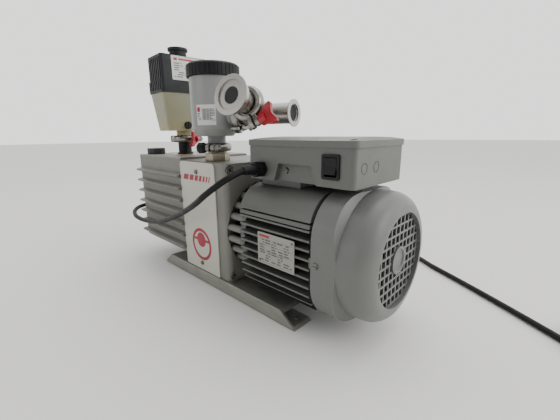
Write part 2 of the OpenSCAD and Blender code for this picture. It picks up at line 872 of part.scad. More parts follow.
module grille() {
    bar = 2.8;
    translate([0, 0, shaft_z]) along_x(grille_x - cowl_wall, grille_x) intersection() {
        circle(grille_r + 1);
        union() {
            for (k = [-5:5]) {
                translate([-80, k * grille_pitch - bar / 2]) square([160, bar]);
                translate([k * grille_pitch - bar / 2, -80]) square([bar, 160]);
            }
            circle(19);
        }
    }
    shaft_lathe([[14, grille_x], [15.5, grille_x + 2], [19, grille_x + 2], [19, grille_x]]);
}

module fan_cowl() {
    color("silver") {
        difference() {
            union() {
                shaft_lathe(concat(cowl_outer(), cowl_inner()));
                difference() {
                    cowl_skirt(0);
                    cowl_skirt(cowl_wall);
                    shaft_cylinder(cowl_x0 - 1, cowl_skirt_x1 + 1, cowl_r - cowl_wall);
                }
            }
            for (a = cowl_lug_angles) translate([cowl_screw_x, 0, shaft_z]) rotate([a - 90, 0, 0])
                translate([0, 0, 76]) cylinder(h = 20, r = 2.6);
        }
        grille();
    }
}

module nameplate() {
    color("gainsboro") along_y(-fin_half - tag_t, -fin_half)
        rounded_rect(tag_x[0], tag_x[1], tag_z[0], tag_z[1], 2);
}

/* ---------- terminal box ---------- */

module terminal_box() {
    gland_r = 8;
    color("silver") difference() {
        union() {
            translate([0, 0, box_z0]) linear_extrude(box_h) rounded_rect(box_x0, box_x1, box_y0, box_y1, 6);
            // Hinge blocks on the end
            for (y = [box_y0 + 8, box_y1 - 18])
                translate([box_x0 - 6, y, box_z0 + 22]) cube([8, 10, box_h - 22]);
        }
        translate([0, 0, box_z0 + box_wall]) linear_extrude(box_h) difference() {
            rounded_rect(box_x0 + box_wall, box_x1 - box_wall, box_y0 + box_wall, box_y1 - box_wall, 4);
            translate([116, box_y0]) square([86, 13]);
            for (x = [box_x0, box_x1], y = [box_y0, box_y1]) translate([x, y]) circle(16);
        }
        // Switch cut-out, cable hole and wire hole
        translate([switch_x[0] + 2, box_y0 - 1, switch_z[0] + 2])
            cube([switch_x[1] - switch_x[0] - 4, 5, switch_z[1] - switch_z[0] - 4]);
        translate([gland_x, box_y0 + 4, gland_z]) rotate([90, 0, 0]) cylinder(h = 5, r = gland_r);
        translate([90, -20, box_z0 - 1]) cube([40, 40, 5]);
        // Tapered pocket in the side, open downwards
        along_y(box_y0 - 1, box_y0 + 8)
            polygon([[131, 234], [189, 234], [198, 208], [122, 208]]);
        translate([140, box_y0 + 11, 224]) rotate([90, 0, 0]) cylinder(h = 5, r = 2.4);
        // Grooves around two knock-outs on the end
        for (y = [-41.5, -11.5]) translate([box_x1 - 0.8, y, 233]) rotate([0, 90, 0]) difference() {
            cylinder(h = 2, r = 7.2);
            translate([0, 0, -1]) cylinder(h = 4, r = 6);
        }
        for (x = lid_screw_x, y = lid_screw_y) translate([x, y, box_top - 14]) cylinder(h = 15, r = 2.4);
    }
}

module terminal_box_lid() {
    over = 2;
    x = [box_x0 - over, box_x1 + over];
    y = [box_y0 - over, box_y1 + over];
    rim = box_top + lid_h - 4;
    top = box_top + lid_h;
    color("silver") difference() {
        intersection() {
            translate([0, 0, box_top]) linear_extrude(lid_h) rounded_rect(x[0], x[1], y[0], y[1], 8);
            along_x(x[0], x[1]) polygon([
                [y[0], box_top], [y[1], box_top], [y[1], rim], [y[1] - 30, top - 1],
                [box_mid_y, top], [y[0] + 30, top - 1], [y[0], rim]
            ]);
            along_y(y[0], y[1]) polygon([
                [x[0], box_top], [x[1], box_top], [x[1], rim], [x[1] - 12, top],
                [x[0] + 12, top], [x[0], rim]
            ]);
        }
        translate([0, 0, box_top - 1]) linear_extrude(5) difference() {
            rounded_rect(box_x0 + 3, box_x1 - 3, box_y0 + 3, box_y1 - 3, 4);
            for (x = [box_x0, box_x1], y = [box_y0, box_y1]) translate([x, y]) circle(16);
        }
        for (x = lid_screw_x, y = lid_screw_y)
            translate([x, y, box_top - 1]) {
                cylinder(h = 20, r = 2.5);
                translate([0, 0, 6]) cylinder(h = 20, r = 5);
            }
    }
}

module switch_body() {
    mid_x = (switch_x[0] + switch_x[1]) / 2;
    mid_z = (switch_z[0] + switch_z[1]) / 2;
    color("black") difference() {
        union() {
            along_y(box_y0 - 2, box_y0) rounded_rect(switch_x[0], switch_x[1], switch_z[0], switch_z[1], 2.5);
            translate([switch_x[0] + 2.2, box_y0 - 1, switch_z[0] + 2.2])
                cube([switch_x[1] - switch_x[0] - 4.4, 22, switch_z[1] - switch_z[0] - 4.4]);
        }
        translate([mid_x - rocker_half - 0.4, box_y0 - 3, mid_z - 12]) cube([2 * rocker_half + 0.8, 15, 24]);
        // Holes for the rocker's pin
        translate([mid_x, box_y0 + 3, mid_z]) rotate([0, 90, 0])
            cylinder(h = 2 * rocker_half + 2, r = rocker_pin_r + 0.05, center = true);
    }
}

// Rocker with one end pressed in; it swings twice this angle about its pivot
module rocker() {
    rocker_tilt = 10;
    mid_x = (switch_x[0] + switch_x[1]) / 2;
    mid_z = (switch_z[0] + switch_z[1]) / 2;
    color("black") translate([0, box_y0 + 3, mid_z]) rotate([-rocker_tilt, 0, 0]) {
        along_x(mid_x - rocker_half, mid_x + rocker_half)
            polygon([[0, -10.5], [-7, -10], [-4.8, 0], [-7, 10], [0, 10.5], [4, 0]]);
        along_x(mid_x - rocker_half - 0.9, mid_x + rocker_half + 0.9) circle(rocker_pin_r);
    }
}

module capacitor() {
    color("silver") translate([140, 25, box_z0 + box_wall + 18]) rotate([0, 90, 0]) {
        cylinder(h = 84, r = 18);
        translate([0, 0, 84]) cylinder(h = 4, r = 7);
    }
}

module cord_gland() {
    color("black") translate([gland_x, box_y0, gland_z]) rotate([90, 0, 0]) {
        translate([0, 0, -6]) cylinder(h = 7, r = 7.9);
        cylinder(h = 5, r = 12, $fn = 6);
        translate([0, 0, 5]) cylinder(h = 12, r = 10);
        translate([0, 0, 17]) cylinder(h = box_y0 - gland_tip - 17, r1 = 8, r2 = 5.5);
    }
}

/* ---------- inlet trap, tee and clamps ---------- */

module inlet_adaptor() {
    color("darkgoldenrod") translate([inlet_x, inlet_y, 0]) difference() {
        union() {
            translate([0, 0, body_z1 - 11]) cylinder(h = 12, r = 12.9);
            translate([0, 0, body_z1]) cylinder(h = 14, r = 22, $fn = 6);
            translate([0, 0, body_z1 + 14]) cylinder(h = 3, r = 17);
            translate([0, 0, trap_z0]) mirror([0, 0, 1]) flange(kf_r, kf_tube_r);
        }
        translate([0, 0, body_z1 - 12]) cylinder(h = 60, r = kf_bore_r - 2);
        translate([0, 0, trap_z0]) mirror([0, 0, 1]) flange_recess();
    }
}

// Split clamp around a flange joint at z = 0, with its grip screw at +X
module clamp_ring() {
    difference() {
        union() {
            cylinder(h = 15, r = 25.5, center = true);
            translate([20, -8, -6]) cube([19, 16, 12]);
            translate([-32, -6, -6]) cube([10, 12, 12]);
        }
        cylinder(h = 5.5, r = kf_r + 0.2, center = true);
        cylinder(h = 20, r = kf_r - 2.4, center = true);
        translate([18, -1.25, -10]) cube([20, 2.5, 20]);
        translate([grip_r, 0, 0]) rotate([90, 0, 0]) cylinder(h = 40, r = 2.7, center = true);
    }
    // Bolt through the two lugs
    translate([grip_r, 8, 0]) rotate([90, 0, 0]) cylinder(h = 28, r = 2.5);
    translate([grip_r, 12, 0]) rotate([90, 0, 0]) cylinder(h = 4, r = 5, $fn = 6);
}

// Where each clamp sits: on the pump's inlet, at the trap's port, on the branch, on the outlet
module at_inlet_clamp() {
    translate([inlet_x, inlet_y, trap_z0]) rotate([0, 0, inlet_clamp_turn]) children();
}

module at_port_clamp() {
    at_run() translate([port_len, 0, 0]) rotate([0, 90, 0]) rotate([0, 0, port_clamp_turn]) children();
}

module at_branch_clamp() {
    at_branch() translate([0, 0, tee_arm]) rotate([0, 0, branch_clamp_turn]) rotate([180, 0, 0]) children();
}

module at_outlet_clamp() {
    translate([outlet_x, outlet_y, filter_flange_z]) rotate([0, 0, outlet_clamp_turn]) children();
}

module clamp_rings() {
    color("lightgray") {
        at_inlet_clamp() clamp_ring();
        at_port_clamp() clamp_ring();
        at_branch_clamp() clamp_ring();
        at_outlet_clamp() clamp_ring();
    }
}

// Grip on a clamp's bolt, turning about the bolt
module on_bolt() {
    translate([grip_r, -8.3, 0]) rotate([90, 0, 0]) children();
}

module inlet_knob() {
    color("black") at_inlet_clamp() on_bolt() difference() {
        union() {
            cylinder(h = 3, r = 7.5);
            translate([0, 0, 2.5]) cylinder(h = 8.5, r = 9);
            translate([0, 0, 11]) cylinder(h = 3, r1 = 9, r2 = 6.5);
        }
        translate([0, 0, -1]) cylinder(h = 13.5, r = 2.6);
    }
}

module wing_nut() {
    difference() {
        union() {
            cylinder(h = 10, r = 7);
            for (side = [0, 180]) rotate([90, 0, side]) translate([0, 0, -2.8]) linear_extrude(5.6)
                polygon([[0, 1], [0, 21], [7, 23], [13, 25.5], [16, 24], [15.5, 16], [10, 8], [8.5, 1]]);
        }
        translate([0, 0, -1]) cylinder(h = 20, r = 2.6);
    }
}

module branch_nut() {
    color("crimson") at_branch_clamp() on_bolt() wing_nut();
}

module outlet_nut() {
    color("crimson") at_outlet_clamp() on_bolt() rotate([0, 0, 80]) wing_nut();
}

module trap_shell(r, z_low, z_high, bottom_r) {
    translate([0, 0, z_low]) cylinder(h = 12, r1 = bottom_r, r2 = r);
    translate([0, 0, z_low + 12]) cylinder(h = z_high - z_low - 12, r = r);
}

module trap_body() {
    wall = 3;
    color("silver") difference() {
        union() {
            translate([inlet_x, inlet_y, 0]) {
                translate([0, 0, trap_z0]) flange(kf_r, kf_tube_r);
                translate([0, 0, trap_z0 + 7]) cylinder(h = 17, r = kf_tube_r + 0.5);
                trap_shell(trap_r, trap_foot_z, trap_z1, 30);
                translate([0, 0, trap_z1]) cylinder(h = 12, r = trap_r - 3);
            }
            at_run() {
                translate([30, 0, 0]) rotate([0, 90, 0]) cylinder(h = port_len - 36, r = kf_tube_r + 0.5);
                translate([port_len, 0, 0]) rotate([0, -90, 0]) flange(kf_r, kf_tube_r);
            }
        }
        translate([inlet_x, inlet_y, 0]) {
            translate([0, 0, trap_z0 - 1]) cylinder(h = 40, r = kf_bore_r);
            translate([0, 0, trap_z0]) flange_recess();
            trap_shell(trap_r - wall, trap_foot_z + wall, trap_z1 - wall, 30 - wall);
            translate([0, 0, trap_z1 - wall - 1]) cylinder(h = 20, r = trap_r - 2 * wall);
        }
        at_run() {
            translate([20, 0, 0]) rotate([0, 90, 0]) cylinder(h = port_len, r = kf_bore_r);
            translate([port_len, 0, 0]) rotate([0, -90, 0]) flange_recess();
        }
    }
}

module trap_cap() {
    color("black") translate([inlet_x, inlet_y, trap_z1]) difference() {
        union() {
            translate([0, 0, 0.2]) cylinder(h = 18, r = trap_r + 3.5);
            translate([0, 0, 18.2]) cylinder(h = 3, r1 = trap_r + 3.5, r2 = trap_r);
            translate([-14, 0, 21]) cylinder(h = 2.6, r = 4);
        }
        translate([0, 0, -1]) cylinder(h = 14, r = trap_r - 2.7);
        for (a = [0:9:351]) rotate([0, 0, a]) translate([trap_r + 4.1, 0, -1]) cylinder(h = 30, r = 1.3);
    }
}

module trap_element() {
    color("linen") translate([inlet_x, inlet_y, 292]) difference() {
        cylinder(h = 72, r = 33);
        translate([0, 0, 4]) cylinder(h = 80, r = 18);
    }
}

module tee_piece() {
    color("gainsboro") difference() {
        union() {
            at_run() {
                translate([port_len, 0, 0]) rotate([0, 90, 0]) cylinder(h = 2 * tee_arm, r = kf_tube_r);
                translate([port_len, 0, 0]) rotate([0, 90, 0]) flange(kf_r, kf_tube_r);
                translate([port_len + 2 * tee_arm, 0, 0]) rotate([0, -90, 0]) flange(kf_r, kf_tube_r);
            }
            at_branch() {
                cylinder(h = tee_arm, r = kf_tube_r);
                translate([0, 0, tee_arm]) mirror([0, 0, 1]) flange(kf_r, kf_tube_r);
            }
        }
        at_run() translate([port_len - 1, 0, 0]) rotate([0, 90, 0])
            cylinder(h = 2 * tee_arm + 2, r = kf_bore_r);
        at_run() translate([port_len, 0, 0]) rotate([0, 90, 0]) flange_recess();
        at_run() translate([port_len + 2 * tee_arm, 0, 0]) rotate([0, -90, 0]) flange_recess();
        at_branch() cylinder(h = tee_arm + 1, r = kf_bore_r);
        at_branch() translate([0, 0, tee_arm]) mirror([0, 0, 1]) flange_recess();
    }
}

module branch_adaptor() {
    color("gainsboro") at_branch() difference() {
        union() {
            translate([0, 0, tee_arm]) flange(kf_r, kf_tube_r);
            translate([0, 0, tee_arm + 7]) cylinder(h = 13, r = kf_tube_r);
            translate([0, 0, tee_arm + 16]) cylinder(h = 12, r1 = kf_tube_r, r2 = 23);
            translate([0, 0, tee_arm + 28]) cylinder(h = 10, r = 23);
            translate([0, 0, branch_end]) mirror([0, 0, 1]) flange(kf40_r, 23);
        }
        translate([0, 0, tee_arm - 1]) cylinder(h = branch_end - tee_arm + 2, r = kf_bore_r);
        translate([0, 0, tee_arm]) flange_recess();
        translate([0, 0, branch_end]) mirror([0, 0, 1]) flange_recess(20.6);
    }
}

// Carrier ring that keeps two flanges in line, centred on z = 0
module centring_ring() {
    difference() {
        cylinder(h = 4.8, r = 13, center = true);
        cylinder(h = 6, r = 11.8, center = true);
    }
}

module centring_rings() {
    color("gray") {
        at_inlet_clamp() centring_ring();
        at_port_clamp() centring_ring();
        at_branch_clamp() centring_ring();
        at_outlet_clamp() centring_ring();
    }
}

/* ---------- exhaust mist filter ---------- */

module outlet_tube() {
    color("black") translate([outlet_x, outlet_y, 0]) difference() {
        union() {
            translate([0, 0, oil_z1 - 8]) cylinder(h = 34, r = outlet_r);
            translate([0, 0, oil_z1]) cylinder(h = 4, r = 17);
            translate([0, 0, filter_flange_z]) mirror([0, 0, 1]) flange(kf_r, outlet_r);
        }
        translate([0, 0, oil_z1 - 9]) cylinder(h = 60, r = 11);
        translate([0, 0, filter_flange_z]) mirror([0, 0, 1]) flange_recess();
    }
}

module at_filter() {
    translate([outlet_x, outlet_y, 0]) rotate([0, 0, filter_turn]) children();
}

// Solid that narrows downwards from the filter's full size, shrunk by inset
module bowl_form(inset) {
    narrow = 8;
    top = [filter_half_d - 1.5 - inset, filter_half_w - 1.5 - inset];
    low = top - [narrow, narrow];
    hull() {
        translate([0, 0, bowl_z[1] - 1]) linear_extrude(1 + inset)
            rounded_rect(-top[0], top[0], -top[1], top[1], 7, $fn = 32);
        translate([0, 0, bowl_z[0] + inset]) linear_extrude(1)
            rounded_rect(-low[0], low[0], -low[1], low[1], 7, $fn = 32);
    }
}

module filter_bowl() {
    wall = 2.5;
    color("khaki") difference() {
        union() {
            at_filter() bowl_form(0);
            translate([outlet_x, outlet_y, filter_flange_z]) flange(kf_r, kf_tube_r);
            translate([outlet_x, outlet_y, filter_flange_z + 7]) cylinder(h = 12, r = kf_tube_r);
        }
        at_filter() bowl_form(wall);
        translate([outlet_x, outlet_y, filter_flange_z]) flange_recess();
        translate([outlet_x, outlet_y, filter_flange_z - 1]) cylinder(h = 24, r = 10);
    }
}

module filter_cover() {
    w = filter_half_w;
    d = filter_half_d;
    color("darkslategray") at_filter() difference() {
        union() {
            translate([0, 0, bowl_z[1]]) linear_extrude(band_z - bowl_z[1]) rounded_rect(-d, d, -w, w, 6);
            translate([0, 0, band_z]) linear_extrude(cover_z - band_z)
                rounded_rect(-d + 2, d - 2, -w + 2, w - 2, 5);
            translate([0, 0, cover_z]) cylinder(h = 15, r = 17);
            translate([0, 0, cover_z + 15]) cylinder(h = 5, r = 20);
        }
        translate([0, 0, bowl_z[1] - 1]) linear_extrude(cover_z - bowl_z[1] - 2)
            rounded_rect(-d + 5, d - 5, -w + 5, w - 5, 4);
        // Cooling grooves down the two narrow sides
        for (side = [-1, 1], k = [-3:3]) translate([k * 9 - 2, side * (w - 1) - 3, bowl_z[1] + 5])
            cube([4, 6, cover_z - bowl_z[1] - 10]);
    }
}

module filter_element() {
    color("beige") at_filter() translate([0, 0, bowl_z[1] - 40]) difference() {
        cylinder(h = 100, r = 21);
        translate([0, 0, 4]) cylinder(h = 100, r = 12);
    }
}

/* ---------- screws ---------- */

module housing_screws() {
    color("dimgray") {
        for (y = [-1, 1] * corner_screw_y, z = corner_screw_z)
            translate([body_x1 - screw_head_h - 0.5, y, z]) rotate([0, 90, 0]) socket_screw(28);
        for (y = [-1, 1] * stage_bolt_y, z = stage_bolt_z)
            translate([end_x0, y, z]) rotate([0, -90, 0]) socket_screw(body_x0 - end_x0 + 14);
        for (x = rail_screw_x, y = [-1, 1] * rail_screw_y)
            translate([x, y, body_z0 - rail_t]) rotate([180, 0, 0]) socket_screw(16);
    }
}

module cover_screws() {
    color("silver") {
        for (side = [-1, 1], z = plate_screw_z)
            translate([plate_screw_x, side * (half_w + plate_thick), z]) rotate([-90 * side, 0, 0])
                pan_screw(9);
        for (x = lid_screw_x, y = lid_screw_y) translate([x, y, box_top + 5]) pan_screw(15);
        for (a = cowl_lug_angles) translate([cowl_screw_x, 0, shaft_z]) rotate([a - 90, 0, 0])
            translate([0, 0, cowl_r]) pan_screw(10);
        translate([140, box_y0 + 8, 224]) rotate([90, 0, 0]) pan_screw(2.8);
    }
}

/* ---------- mains cord ---------- */

// Route of the cord from the gland, over the sight glass's boss and along the floor to the coil
cord_route = [
    [98, -100, 224], [98, -113, 221], [93, -127, 214], [81, -138, 203], [64, -143, 191],
    [42, -142, 178], [8, -137, 162], [-30, -129, 147], [-74, -122, 131], [-120, -116, 115],
    [-168, -112, 102], [-214, -109, 94], [-256, -109, 92], [-289, -106, 95], [-314, -93, 101],
    [-326, -70, 105], [-321, -44, 106], [-307, -20, 105], [-300, 6, 103], [-301, 32, 94],
    [-305, 60, 77], [-305, 86, 55], [-296, 111, 33], [-277, 134, 15], [-252, 154, 6],
    [-220, 173, 4.7], [-178, 196, 4.7], [-132, 222, 4.7], [-84, 248, 4.7], [-32, 275, 4.7],
    [24, 298, 4.7], [80, 313, 4.7], [132, 317, 4.7], [176, 311, 4.7], [212, 297, 4.7],
    [250, 271, 4.7], [300, 241, 4.7], [360, 204, 4.7], [420, 165, 4.7], [470, 131, 4.7]
];

// Smooth curve through the route, with one point added in each gap
function between(p, i) = let (
    a = p[max(i - 1, 0)], b = p[i], c = p[i + 1], d = p[min(i + 2, len(p) - 1)]
) (9 * (b + c) - a - d) / 16;
function smooth_route(p) = [
    for (i = [0:len(p) - 1]) each (i < len(p) - 1 ? [p[i], between(p, i)] : [p[i]])
];

// The coil and the plug beside it
coil_x = 519;
coil_y = 162;
plug_h = 26;

module power_cord() {
    color("black") tube(smooth_route(cord_route), cord_d / 2, 10, [0, 0.05, 1]);
}

module cord_coil() {
    color("black") translate([coil_x, coil_y, 0]) rotate_extrude()
        translate([coil_r - 1.5 * cord_d, 0]) square([3 * cord_d, 2 * cord_d]);
}

module power_plug() {
    translate([coil_x + coil_r + cord_d, coil_y, plug_h / 2]) rotate([-90, 0, 0]) {
        color("black") {
            translate([0, 0, 14]) cylinder(h = 14, r = cord_d / 2);
            translate([0, 0, 27]) cylinder(h = 26, r1 = 5, r2 = 8);
            translate([0, 0, 52]) linear_extrude(36) rounded_rect(-14, 14, -plug_h / 2, plug_h / 2, 9);
        }
        color("goldenrod") {
            for (x = [-6.4, 6.4]) translate([x - 0.8, -5, 87]) cube([1.6, 7, 18]);
            translate([0, 7.5, 87]) cylinder(h = 20, r = 2.4);
        }
    }
}

base_rails();
pump_body();
side_plates();
oil_box();
sight_glass();
drain_plug();
filler_cap();
gas_ballast_knob();
hv_stator();
lv_stator();
intermediate_plate();
end_plate();
exhaust_valve();
shaft_seal();
housing_screws();
hv_rotor();
lv_rotor();
hv_vane_a();
hv_vane_b();
lv_vane_a();
lv_vane_b();
vane_springs();
coupling_hubs();
coupling_spider();
motor_shaft();
rotor_core();
cooling_fan();
motor_frame();
drive_end_shield();
rear_end_shield();
stator_core();
stator_windings();
motor_bearings();
fan_cowl();
cover_screws();
nameplate();
terminal_box();
terminal_box_lid();
switch_body();
rocker();
capacitor();
cord_gland();
inlet_adaptor();
clamp_rings();
inlet_knob();
branch_nut();
outlet_nut();
trap_body();
trap_cap();
trap_element();
tee_piece();
branch_adaptor();
centring_rings();
outlet_tube();
filter_bowl();
filter_cover();
filter_element();
power_cord();
cord_coil();
power_plug();
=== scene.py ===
"""Looks of the two-stage rotary vane vacuum pump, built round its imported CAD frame.

Lengths are in metres, in the CAD's own frame. Where a size is written as a number times MM,
it is in millimetres, as in the CAD source.
"""

import math

import bmesh
import bpy
from mathutils import Matrix, Quaternion, Vector


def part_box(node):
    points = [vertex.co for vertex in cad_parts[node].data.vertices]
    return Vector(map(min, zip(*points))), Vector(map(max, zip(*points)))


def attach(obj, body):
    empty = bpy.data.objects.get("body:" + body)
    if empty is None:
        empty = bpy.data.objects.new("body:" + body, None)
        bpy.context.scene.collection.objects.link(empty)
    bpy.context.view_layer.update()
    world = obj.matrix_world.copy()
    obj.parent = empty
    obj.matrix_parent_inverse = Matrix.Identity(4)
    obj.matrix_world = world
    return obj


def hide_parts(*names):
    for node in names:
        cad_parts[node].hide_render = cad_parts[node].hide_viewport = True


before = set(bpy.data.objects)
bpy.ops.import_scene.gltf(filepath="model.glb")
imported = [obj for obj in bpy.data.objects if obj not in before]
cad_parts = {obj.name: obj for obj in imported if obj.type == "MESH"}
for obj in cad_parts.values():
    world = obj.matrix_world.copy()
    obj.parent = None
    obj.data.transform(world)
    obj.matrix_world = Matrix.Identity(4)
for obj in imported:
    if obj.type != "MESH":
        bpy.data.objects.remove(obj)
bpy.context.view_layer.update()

MM = 0.001
NEAR, FAR = -1, 1


# ---------- camera, floor and light ----------

CAMERA_PLACE = Vector((436.2, -380.4, 275.4)) * MM
CAMERA_AZIMUTH, CAMERA_ELEVATION, CAMERA_ROLL = (math.radians(a) for a in (43.6, 13.9, -0.5))


def make_camera():
    data = bpy.data.cameras.new("camera")
    data.sensor_width = 36
    data.lens = 20.0
    data.clip_start = 0.01
    camera = bpy.data.objects.new("camera", data)
    level = math.cos(CAMERA_ELEVATION)
    sine, cosine = math.sin(CAMERA_AZIMUTH), math.cos(CAMERA_AZIMUTH)
    back = Vector((sine * level, -cosine * level, math.sin(CAMERA_ELEVATION)))
    camera.rotation_mode = "QUATERNION"
    camera.rotation_quaternion = (-back).to_track_quat("-Z", "Y") @ Quaternion((0, 0, 1), CAMERA_ROLL)
    camera.location = CAMERA_PLACE
    bpy.context.scene.collection.objects.link(camera)
    bpy.context.scene.camera = camera


def soft_light(name, place, target, size, power, tint=(1, 1, 1)):
    data = bpy.data.lights.new(name, "AREA")
    data.shape = "RECTANGLE"
    data.size, data.size_y = size
    data.energy = power
    data.color = tint
    light = bpy.data.objects.new(name, data)
    light.location = place
    light.rotation_mode = "QUATERNION"
    light.rotation_quaternion = (Vector(target) - Vector(place)).to_track_quat("-Z", "Y")
    bpy.context.scene.collection.objects.link(light)


def make_studio():
    """A room bright on its far side, with a key light at the motor's end and a weak fill on the near side."""
    world = bpy.data.worlds.new("studio")
    world.use_nodes = True
    tree = world.node_tree
    background = tree.nodes["Background"]
    background.inputs["Color"].default_value = (0.97, 0.97, 0.955, 1)
    facing = tree.nodes.new("ShaderNodeVectorMath")
    facing.operation = "DOT_PRODUCT"
    facing.inputs[1].default_value = (-0.30, 0.93, 0.20)
    strength = tree.nodes.new("ShaderNodeMapRange")
    for key, value in {"From Min": -0.5, "From Max": 0.35, "To Min": 0.28, "To Max": 1.75}.items():
        strength.inputs[key].default_value = value
    direction = tree.nodes.new("ShaderNodeTexCoord").outputs["Generated"]
    tree.links.new(direction, facing.inputs[0])
    tree.links.new(facing.outputs["Value"], strength.inputs["Value"])
    tree.links.new(strength.outputs["Result"], background.inputs["Strength"])
    bpy.context.scene.world = world
    centre = (0, 0, 0.15)
    soft_light("overhead", (0.2, 0.5, 2.4), centre, (1.8, 1.4), 11, (1.0, 0.99, 0.97))
    soft_light("key", (2.2, 0.5, 1.3), centre, (1.2, 1.2), 20, (1.0, 0.99, 0.97))
    soft_light("fill", (-0.6, -2.0, 0.8), centre, (1.6, 0.8), 6.5, (0.97, 0.98, 1.0))


def make_floor():
    bm = bmesh.new()
    bmesh.ops.create_circle(bm, cap_ends=True, radius=12, segments=96)
    mesh = bpy.data.meshes.new("floor")
    bm.to_mesh(mesh)
    bm.free()
    floor = bpy.data.objects.new("floor", mesh)
    floor.location = (0, 0, -0.0005)
    bpy.context.scene.collection.objects.link(floor)
    floor.data.materials.append(floor_finish())


# ---------- material kit ----------

class Finish:
    """A material under construction, with short calls for the nodes that the finishes share."""

    def __init__(self, name):
        self.material = bpy.data.materials.new(name)
        self.material.use_nodes = True
        self.tree = self.material.node_tree
        self.shader = self.tree.nodes["Principled BSDF"]
        self.place = self.tree.nodes.new("ShaderNodeTexCoord").outputs["Object"]

    def node(self, kind, values=(), **settings):
        """A node with its settings, and its inputs given by name as values or as links."""
        made = self.tree.nodes.new("ShaderNode" + kind)
        for key, value in settings.items():
            setattr(made, key, value)
        for key, value in dict(values).items():
            self.feed(made.inputs[key], value)
        return made

    def feed(self, socket, value):
        if isinstance(value, bpy.types.NodeSocket):
            self.tree.links.new(value, socket)
        else:
            socket.default_value = value

    def set(self, **values):
        """Sets the shader's inputs; an underscore in a name stands for a space."""
        for key, value in values.items():
            self.feed(self.shader.inputs[key.replace("_", " ")], value)

    def noise(self, scale, detail=2.0, stretch=None, roughness=0.5):
        place = self.place
        if stretch:
            place = self.node("Mapping", {"Vector": self.place, "Scale": stretch}).outputs["Vector"]
        values = {"Vector": place, "Scale": scale, "Detail": detail, "Roughness": roughness}
        return self.node("TexNoise", values).outputs["Fac"]

    def ramp(self, value, low, high, start=0.0, end=1.0):
        """value taken from low..high to start..end, and held there."""
        values = {"Value": value, "From Min": low, "From Max": high, "To Min": start, "To Max": end}
        return self.node("MapRange", values).outputs["Result"]

    def math(self, kind, a, b):
        return self.node("Math", {0: a, 1: b}, operation=kind).outputs["Value"]

    def mix(self, share, a, b):
        """A colour between a and b."""
        made = self.node("Mix", data_type="RGBA")
        self.feed(made.inputs["Factor"], share)
        self.feed(made.inputs[6], a if isinstance(a, bpy.types.NodeSocket) else (*a, 1))
        self.feed(made.inputs[7], b if isinstance(b, bpy.types.NodeSocket) else (*b, 1))
        return made.outputs[2]

    def edges(self, radius):
        """1 on convex and concave edges, 0 on flats."""
        bevel = self.node("Bevel", {"Radius": radius}, samples=4).outputs["Normal"]
        normal = self.node("NewGeometry").outputs["Normal"]
        alike = self.node("VectorMath", {0: bevel, 1: normal}, operation="DOT_PRODUCT").outputs["Value"]
        return self.ramp(alike, 0.99, 0.80)

    def crevices(self, reach):
        """Painted shade mask from ambient occlusion: 1 deep in corners and crevices, 0 in the open."""
        shade = self.node("AmbientOcclusion", {"Distance": reach}, samples=6).outputs["AO"]
        return self.ramp(shade, 0.85, 0.25)

    def bump(self, height, depth, strength=1.0, normal=None):
        values = {"Height": height, "Distance": depth, "Strength": strength}
        if normal is not None:
            values["Normal"] = normal
        return self.node("Bump", values).outputs["Normal"]


def shade_of(colour, factor):
    """A colour made darker or lighter."""
    return tuple(c * factor for c in colour)


def painted(name, colour, rough=0.42, cast=0.0, wear=0.35, crevice_shade_strength=0.5, bare=(0.45, 0.44, 0.42)):
    """Sprayed paint with orange peel, over a casting where cast is above 0, chipped at its edges, and
    darkened in its corners and crevices by painted shade.
    """
    f = Finish(name)
    cloud = f.noise(9, 4)
    base = f.mix(cloud, shade_of(colour, 0.92), shade_of(colour, 1.07))
    speck = f.ramp(f.noise(1400, 1), 0.60, 0.75)
    base = f.mix(f.math("MULTIPLY", speck, 0.25), base, shade_of(colour, 0.72))
    # Painted shade: ambient occlusion darkens corners and crevices towards a dark copy of the paint, in
    # patches broken up by noise.
    painted_crevice_shade = f.math("MULTIPLY", f.crevices(14 * MM), crevice_shade_strength)
    painted_crevice_shade = f.math("MULTIPLY", painted_crevice_shade, f.ramp(f.noise(60, 4), 0.3, 0.62, 0.45, 1.0))
    base = f.mix(painted_crevice_shade, base, shade_of(colour, 0.22))
    chips = f.math("MULTIPLY", f.edges(0.9 * MM), f.ramp(f.noise(170, 5, roughness=0.7), 0.52, 0.60))
    chips = f.math("MULTIPLY", chips, wear)
    base = f.mix(chips, base, bare)
    smear = f.ramp(f.noise(28, 5, roughness=0.65), 0.35, 0.7, rough - 0.06, rough + 0.10)
    peel = f.bump(f.noise(900, 2), 0.05 * MM, 0.5)
    if cast:
        peel = f.bump(f.noise(330, 3), 0.25 * MM, cast, peel)
    f.set(Base_Color=base, Roughness=smear, Normal=peel)
    return f.material


def metal(name, colour, rough=0.3, brush=None, tarnish=0.2, grain=0.25, crevice_shade_strength=0.3):
    """Bare metal; brush is the stretch of its grain, and tarnish darkens it in clouds; painted shade darkens
    its crevices.
    """
    f = Finish(name)
    stain = f.math("MULTIPLY", f.ramp(f.noise(34, 5, roughness=0.65), 0.42, 0.7), tarnish)
    base = f.mix(stain, colour, shade_of(colour, 0.55))
    # Painted shade: ambient occlusion darkens the crevices towards a dark copy of the metal.
    base = f.mix(f.math("MULTIPLY", f.crevices(6 * MM), crevice_shade_strength), base, shade_of(colour, 0.18))
    lines = f.noise(420, 3, brush or (1, 1, 1))
    f.set(
        Base_Color=base, Metallic=1.0,
        Roughness=f.ramp(lines, 0.3, 0.7, rough * 0.75, rough * 1.3),
        Normal=f.bump(lines, 0.04 * MM, grain),
    )
    return f.material


